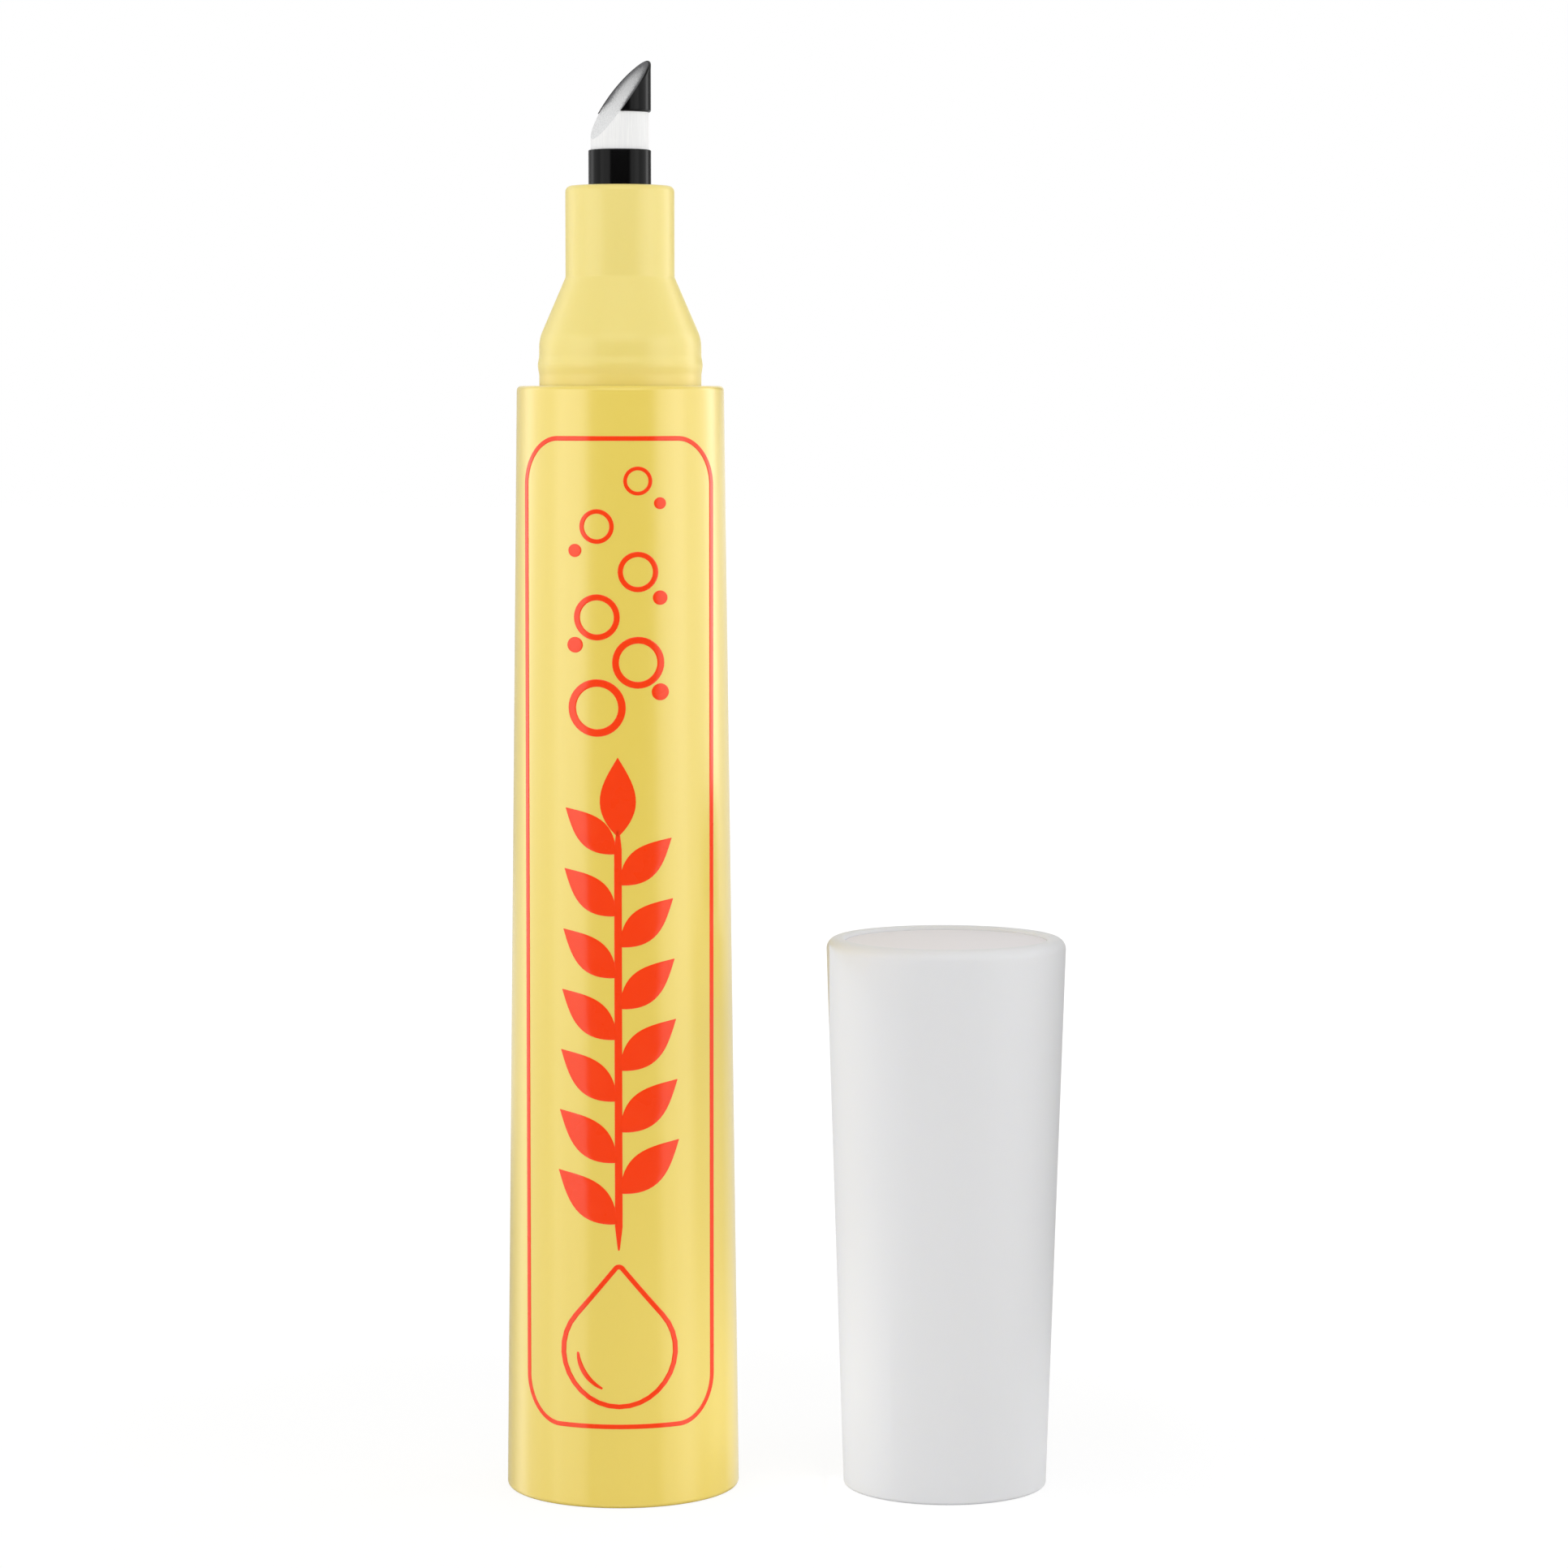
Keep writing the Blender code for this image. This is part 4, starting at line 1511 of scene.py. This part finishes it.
        stem = self.stroke(shares_of(self.stem_steps), self.stem_fade, border)
        crown = self.leaf_mesh()
        crown.transform(Matrix.Translation((0.0, 0.0, high - self.crown_overlap)))
        return joined(stem, self.row_of(self.leaf_mesh(), self.leaves), crown)

    def ring_mesh(self, radius: float, line_width: float) -> Mesh:
        """One flat ring, or a disc where the line is as wide as the radius.

        Args:
            radius: its outer radius.
            line_width: how wide its line is.

        Returns:
            The flat mesh.
        """
        outer, inner = (
            arc((0.0, 0.0), (reach, reach), (0.0, math.tau), RING_STEPS)[:-1]
            for reach in (radius, radius - line_width))
        return self.band(outer, inner, True, Rim.OUTER if line_width >= radius else Rim.BOTH)

    def bubbles_mesh(self) -> Mesh:
        """The flat rings and dots that grow smaller as they rise.

        Returns:
            The flat mesh.
        """
        ring = self.ring_mesh(self.bubble_radius, self.bubble_line)
        dot = self.ring_mesh(self.dot_radius, self.dot_radius)
        return joined(self.row_of(ring, self.bubbles), self.row_of(dot, self.dots))

    def drop_mesh(self) -> Mesh:
        """The flat outlined drop with a shine line inside.

        Returns:
            The flat mesh.
        """
        def border(share: float, side: int) -> Point:
            """A border of the shine line.

            Args:
                share: the share of its length.
                side: -1 for its outer border and 1 for its inner one.

            Returns:
                The border's point.
            """
            first, last = self.shine_span
            angle = first + (last - first) * share
            thick = self.drop_line * math.sin(math.pi * share) ** self.shine_fullness
            reach = self.drop_radius - self.shine_inset - side * thick / 2
            return (reach * math.cos(angle), self.drop_level + reach * math.sin(angle))

        outlines = (
            drop_outline(self.drop_level, self.drop_radius - inset, self.drop_tip_level,
                         self.drop_tip_radius - inset)
            for inset in (0.0, self.drop_line))
        outline = self.band(*refined(*outlines, self.spacing), True)
        shine = self.stroke(shares_of(self.shine_steps), self.shine_fade, border)
        return joined(outline, shine)

    def build(self) -> None:
        """Draw, lay and dress each part of the print."""
        for name, flat in (
            ("print_frame_line", self.frame_mesh()),
            ("print_sprig", self.sprig_mesh()),
            ("print_bubbles", self.bubbles_mesh()),
            ("print_drop", self.drop_mesh()),
        ):
            laid = self.shop.wrap.run(flat, {
                "Base Radius": self.barrel.base_radius, "Top Radius": self.barrel.top_radius,
                "Length": self.barrel.length, "Material": self.shop.paint(ORANGE_INK)})
            self.shop.piece(name, laid, ORANGE_INK, Body.PEN)


@dataclass
class Cap(Assembly):
    """The flared grey cap, its inset end disc and the liner that seals on the neck."""

    mouth_radius: float = 7.62 * MM
    bore: float = 6.35 * MM
    skirt: float = 9.0 * MM
    mouth_edge: float = 0.25 * MM
    snap: SnapRing = SnapRing(2.7 * MM, 1.4 * MM, -0.32 * MM)
    rim_width: float = 1.4 * MM
    rim_height: float = 0.3 * MM
    outer_rounding: float = 0.84 * MM
    inner_rounding: float = 0.28 * MM
    ledge: float = 0.5 * MM
    disc_thickness: float = 1.2 * MM
    disc_edge: float = 0.06 * MM
    ribs: RibSet = RibSet(6, 0.9 * MM, 5.01 * MM, 0.5 * MM)  # 0.1 mm clear of the liner
    rib_end_gap: float = 0.2 * MM
    liner_radius: float = 4.91 * MM
    liner_bore: float = 4.06 * MM
    liner_flange_radius: float = 5.95 * MM
    liner_flange_thickness: float = 1.0 * MM
    liner_flange_edge: float = 0.1 * MM
    liner_flange_root: float = 0.2 * MM
    liner_mouth_edge: float = 0.15 * MM
    liner_rounding: float = 0.6 * MM
    liner_inner_rounding: float = 0.4 * MM
    liner_roof: float = 0.85 * MM
    top_radius: float = field(init=False)
    height: float = field(init=False)
    axis: Vector = field(init=False)

    def __post_init__(self) -> None:
        """Take the main sizes and the place from the CAD parts."""
        low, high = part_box("cap_shell")
        self.top_radius = (high.x - low.x) / 2
        self.height = high.z
        self.axis = Vector(((high.x + low.x) / 2, 0.0, 0.0))

    @property
    def recess(self) -> float:
        """The radius of the recess that the disc lies in."""
        return self.top_radius - self.rim_width

    @property
    def ledge_level(self) -> float:
        """Where the disc rests."""
        return self.height - self.rim_height - self.disc_thickness

    @property
    def flange_top(self) -> float:
        """Where the liner's flange ends."""
        return self.skirt + self.liner_flange_thickness

    def inside(self, height: float) -> float:
        """The cap's inner radius at a height."""
        share = max(0.0, (height - self.skirt) / (self.ledge_level - self.skirt))
        return self.bore + (self.recess - self.ledge - self.bore) * share

    def shell_mesh(self) -> Mesh:
        """The shell and its ribs.

        Returns:
            The mesh.
        """
        shell = self.shop.turned([
            (self.top_radius, self.height, self.outer_rounding),
            (self.mouth_radius, 0.0, self.mouth_edge),
            (self.bore, 0.0, self.mouth_edge),
            *reversed(self.snap.corners(self.inside)),
            (self.bore, self.skirt),
            (self.recess - self.ledge, self.ledge_level),
            (self.recess, self.ledge_level),
            (self.recess, self.height, self.inner_rounding),
        ], GREY_CAP, self.axis)
        ends = self.flange_top + self.rib_end_gap, self.ledge_level - self.rib_end_gap
        wall = [(self.inside(level), level) for level in ends]
        return joined(shell, self.shop.ribbed(self.ribs, wall, GREY_CAP, self.axis))

    def disc_mesh(self) -> Mesh:
        """The disc in the cap's end.

        Returns:
            The mesh.
        """
        top = self.height - self.rim_height
        return self.shop.turned([
            (0.0, top), (self.recess, top, self.disc_edge),
            (self.recess, self.ledge_level), (0.0, self.ledge_level),
        ], GREY_CAP_END_PAINTED_LIGHT, self.axis)

    def liner_mesh(self) -> Mesh:
        """The inner cup.

        Returns:
            The mesh.
        """
        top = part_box("cap_liner")[1].z
        return self.shop.turned([
            (0.0, top),
            (self.liner_radius, top, self.liner_rounding),
            (self.liner_radius, self.flange_top, self.liner_flange_root),
            (self.liner_flange_radius, self.flange_top, self.liner_flange_edge),
            (self.liner_flange_radius, self.skirt, self.liner_flange_edge),
            (self.liner_bore, self.skirt, self.liner_mouth_edge),
            (self.liner_bore, top - self.liner_roof, self.liner_inner_rounding),
            (0.0, top - self.liner_roof),
        ], NATURAL_LINER, self.axis)

    def build(self) -> None:
        """Build and dress the three pieces."""
        for node, mesh, finish in (
            ("cap_shell", self.shell_mesh(), GREY_CAP),
            ("cap_end_disc", self.disc_mesh(), GREY_CAP_END_PAINTED_LIGHT),
            ("cap_liner", self.liner_mesh(), NATURAL_LINER),
        ):
            self.shop.piece(f"{node}_moulding", mesh, finish, Body.CAP, node)


# Studio


@dataclass(frozen=True)
class Softbox:
    """A large soft lamp that faces the object, placed by angles in degrees."""

    name: str
    azimuth: float
    elevation: float
    distance: float
    width: float
    height: float
    radiance: float

    def place(self, target: Vector) -> None:
        """Hang the lamp, facing a target.

        Args:
            target: what it faces.
        """
        lamp = bpy.data.lights.new(self.name, "AREA")
        lamp.shape = "RECTANGLE"
        lamp.size, lamp.size_y = self.width, self.height
        lamp.energy = self.radiance * math.pi * self.width * self.height
        holder = placed(self.name, lamp)
        azimuth, elevation = math.radians(self.azimuth), math.radians(self.elevation)
        away = Vector((
            math.sin(azimuth) * math.cos(elevation), -math.cos(azimuth) * math.cos(elevation),
            math.sin(elevation)))
        holder.location = target + away * self.distance
        holder.rotation_euler = away.to_track_quat("Z", "Y").to_euler()


@dataclass(frozen=True)
class Card:
    """A flat card, unseen by the camera: grey to keep light off, or glowing to give soft light."""

    name: str
    start: Point
    end: Point
    low: float
    high: float
    tone: float
    glow: float = 0.0
    mottle: Noise = Noise(8.0)
    mottle_change: float = 1.08

    def place(self) -> None:
        """Stand the card up between two points of the plan."""
        mesh = mesh_of([
            (*self.start, self.low), (*self.end, self.low), (*self.end, self.high),
            (*self.start, self.high)], [range(4)])
        card = placed(self.name, mesh)
        card.visible_camera = False
        card.visible_shadow = card.visible_glossy = self.glow == 0.0
        bench = SurfaceBench(self.name)
        tones = (self.tone,) * 3, (self.tone * self.mottle_change,) * 3
        bench.set(
            Base_Color=bench.between(bench.noise(self.mottle), *tones),
            Roughness=1.0, Specular_IOR_Level=0.0,
            Emission_Color=(1.0, 1.0, 1.0, 1.0), Emission_Strength=self.glow)
        mesh.materials.append(bench.material)


@dataclass
class Studio:
    """White floor and surroundings, soft lamps, grey cards and the camera."""

    camera_place: Vector = field(default_factory=lambda: Vector((12.12, -351.0, 82.0)) * MM)
    camera_aim: Vector = field(default_factory=lambda: Vector((12.12, 0.0, 52.9)) * MM)
    lens: float = 108.4
    clip: Point = (0.01, 50.0)
    surroundings: float = 0.66
    floor_half: float = 3.0
    floor_level: float = -0.01 * MM
    floor_matt: float = 0.78
    floor_glow: float = 1.08
    shadow_span: Point = (0.04, 0.11)
    shadow_share: float = 0.2
    lamps: tuple[Softbox, ...] = (
        Softbox("left_softbox", -88, 6, 0.5, 0.62, 0.5, 0.55),
        Softbox("left_strip", -66, 4, 0.5, 0.14, 0.5, 1.3),
        Softbox("front_left_softbox", -46, 4, 0.55, 0.2, 0.5, 1.62),
        Softbox("back_left_softbox", -118, 8, 0.5, 0.14, 0.4, 0.9),
        Softbox("right_softbox", 95, 6, 0.5, 0.6, 0.5, 0.77),
        Softbox("right_strip", 68, 4, 0.5, 0.14, 0.5, 1.35),
        Softbox("front_right_softbox", 52, 4, 0.55, 0.2, 0.5, 1.42),
        Softbox("back_right_softbox", 122, 8, 0.5, 0.14, 0.4, 1.6),
        Softbox("front_fill", 0, 30, 0.6, 0.6, 0.3, 1.4),
    )
    cards: tuple[Card, ...] = (
        Card("front_card", (-0.42, -0.62), (0.5, -0.62), -0.02, 0.42, 0.2),
        Card("back_left_card", (-0.2, 0.2), (-0.07, 0.29), 0.02, 0.18, 0.6),
        Card("back_right_card", (0.2, 0.2), (0.1, 0.29), 0.09, 0.2, 0.3),
        Card("side_card", (0.046, -0.002), (0.046, 0.024), 0.012, 0.05, 0.35),
        Card("gap_card", (0.0155, -0.012), (0.0155, 0.002), 0.001, 0.041, 0.02, 0.95),
        Card("low_gap_card", (0.0152, -0.012), (0.0152, 0.002), 0.0005, 0.014, 0.02, 1.4),
    )

    def world(self) -> None:
        """White surroundings that light the object at a plain level."""
        world = bpy.data.worlds.new("white_studio")
        world.use_nodes = True
        bpy.context.scene.world = world
        bench = NodeBench(world.node_tree)
        background = bench.tree.nodes["Background"].inputs
        strength = bench.ramp(self.seen_share(bench), (0.0, 1.0), (self.surroundings, 1.0))
        bench.plug(background["Color"], (1.0, 1.0, 1.0, 1.0))
        bench.plug(background["Strength"], strength)

    def seen_share(self, bench: NodeBench) -> Socket:
        """Tell the rays that show the background: camera, glossy and transmission rays.

        Args:
            bench: where the nodes are added.

        Returns:
            1 for those rays and 0 for others.
        """
        path = bench.add("ShaderNodeLightPath").outputs
        some = bench.math("MAXIMUM", path["Is Camera Ray"], path["Is Glossy Ray"])
        return bench.math("MAXIMUM", some, path["Is Transmission Ray"])

    def floor(self) -> None:
        """A white floor that keeps a soft shadow near the object and fades to pure white.

        To reflections it is a mirror, so that the bands of light run down to the object's base.
        """
        half, level = self.floor_half, self.floor_level
        corners = [(x * half, y * half, level) for x, y in ((-1, -1), (1, -1), (1, 1), (-1, 1))]
        mesh = mesh_of(corners, [range(4)])
        placed("floor", mesh)
        bench = SurfaceBench("white_floor")
        bench.tree.nodes.remove(bench.shader)

        def mix(share: Socket, low: Socket, high: Socket) -> Socket:
            """Mix two shaders."""
            return bench.out("ShaderNodeMixShader", {0: share, 1: low, 2: high})

        path = bench.add("ShaderNodeLightPath").outputs
        length = bench.add("ShaderNodeVectorMath", {0: bench.place}, operation="LENGTH")
        near = bench.math(
            "MULTIPLY",
            bench.ramp(length.outputs["Value"], self.shadow_span, (1.0, 0.0)),
            bench.ramp(path["Is Camera Ray"], (0.0, 1.0), (1.0, self.shadow_share)))
        matt = bench.out("ShaderNodeBsdfDiffuse", {"Color": (*(self.floor_matt,) * 3, 1.0)})
        glow = bench.out("ShaderNodeEmission", {"Strength": self.floor_glow})
        mirror = bench.out("ShaderNodeBsdfAnisotropic", {"Roughness": 0.0})
        shown = mix(path["Is Glossy Ray"], mix(near, glow, matt), mirror)
        bench.plug(
            bench.tree.nodes["Material Output"].inputs["Surface"],
            mix(self.seen_share(bench), matt, shown))
        mesh.materials.append(bench.material)

    def camera(self) -> None:
        """The camera at the photograph's place."""
        lens = bpy.data.cameras.new("camera")
        lens.lens = self.lens
        lens.clip_start, lens.clip_end = self.clip
        holder = placed("camera", lens)
        holder.location = self.camera_place
        away = self.camera_place - self.camera_aim
        holder.rotation_euler = away.to_track_quat("Z", "Y").to_euler()
        bpy.context.scene.camera = holder

    def build(self) -> None:
        """Set up the whole studio."""
        self.world()
        self.floor()
        for card in self.cards:
            card.place()
        for lamp in self.lamps:
            lamp.place(self.camera_aim)
        self.camera()
        bpy.context.scene.view_settings.view_transform = "Standard"
        log.info(
            "studio: floor, surroundings, %d cards, %d lamps and camera", len(self.cards),
            len(self.lamps))


def main() -> None:
    """Build each sub-assembly in order, then the studio."""
    logging.basicConfig(level=logging.INFO, format="%(name)s: %(message)s")
    shop = Workshop()
    barrel = Barrel(shop)
    assemblies: Sequence[Assembly] = (
        barrel, Reservoir(shop), FrontSection(shop, barrel.length), Nib(shop),
        PrintedPanel(shop, barrel), Cap(shop))
    for assembly in assemblies:
        log.info("building %s", type(assembly).__name__)
        assembly.build()
    Studio().build()


if __name__ == "__main__":
    main()
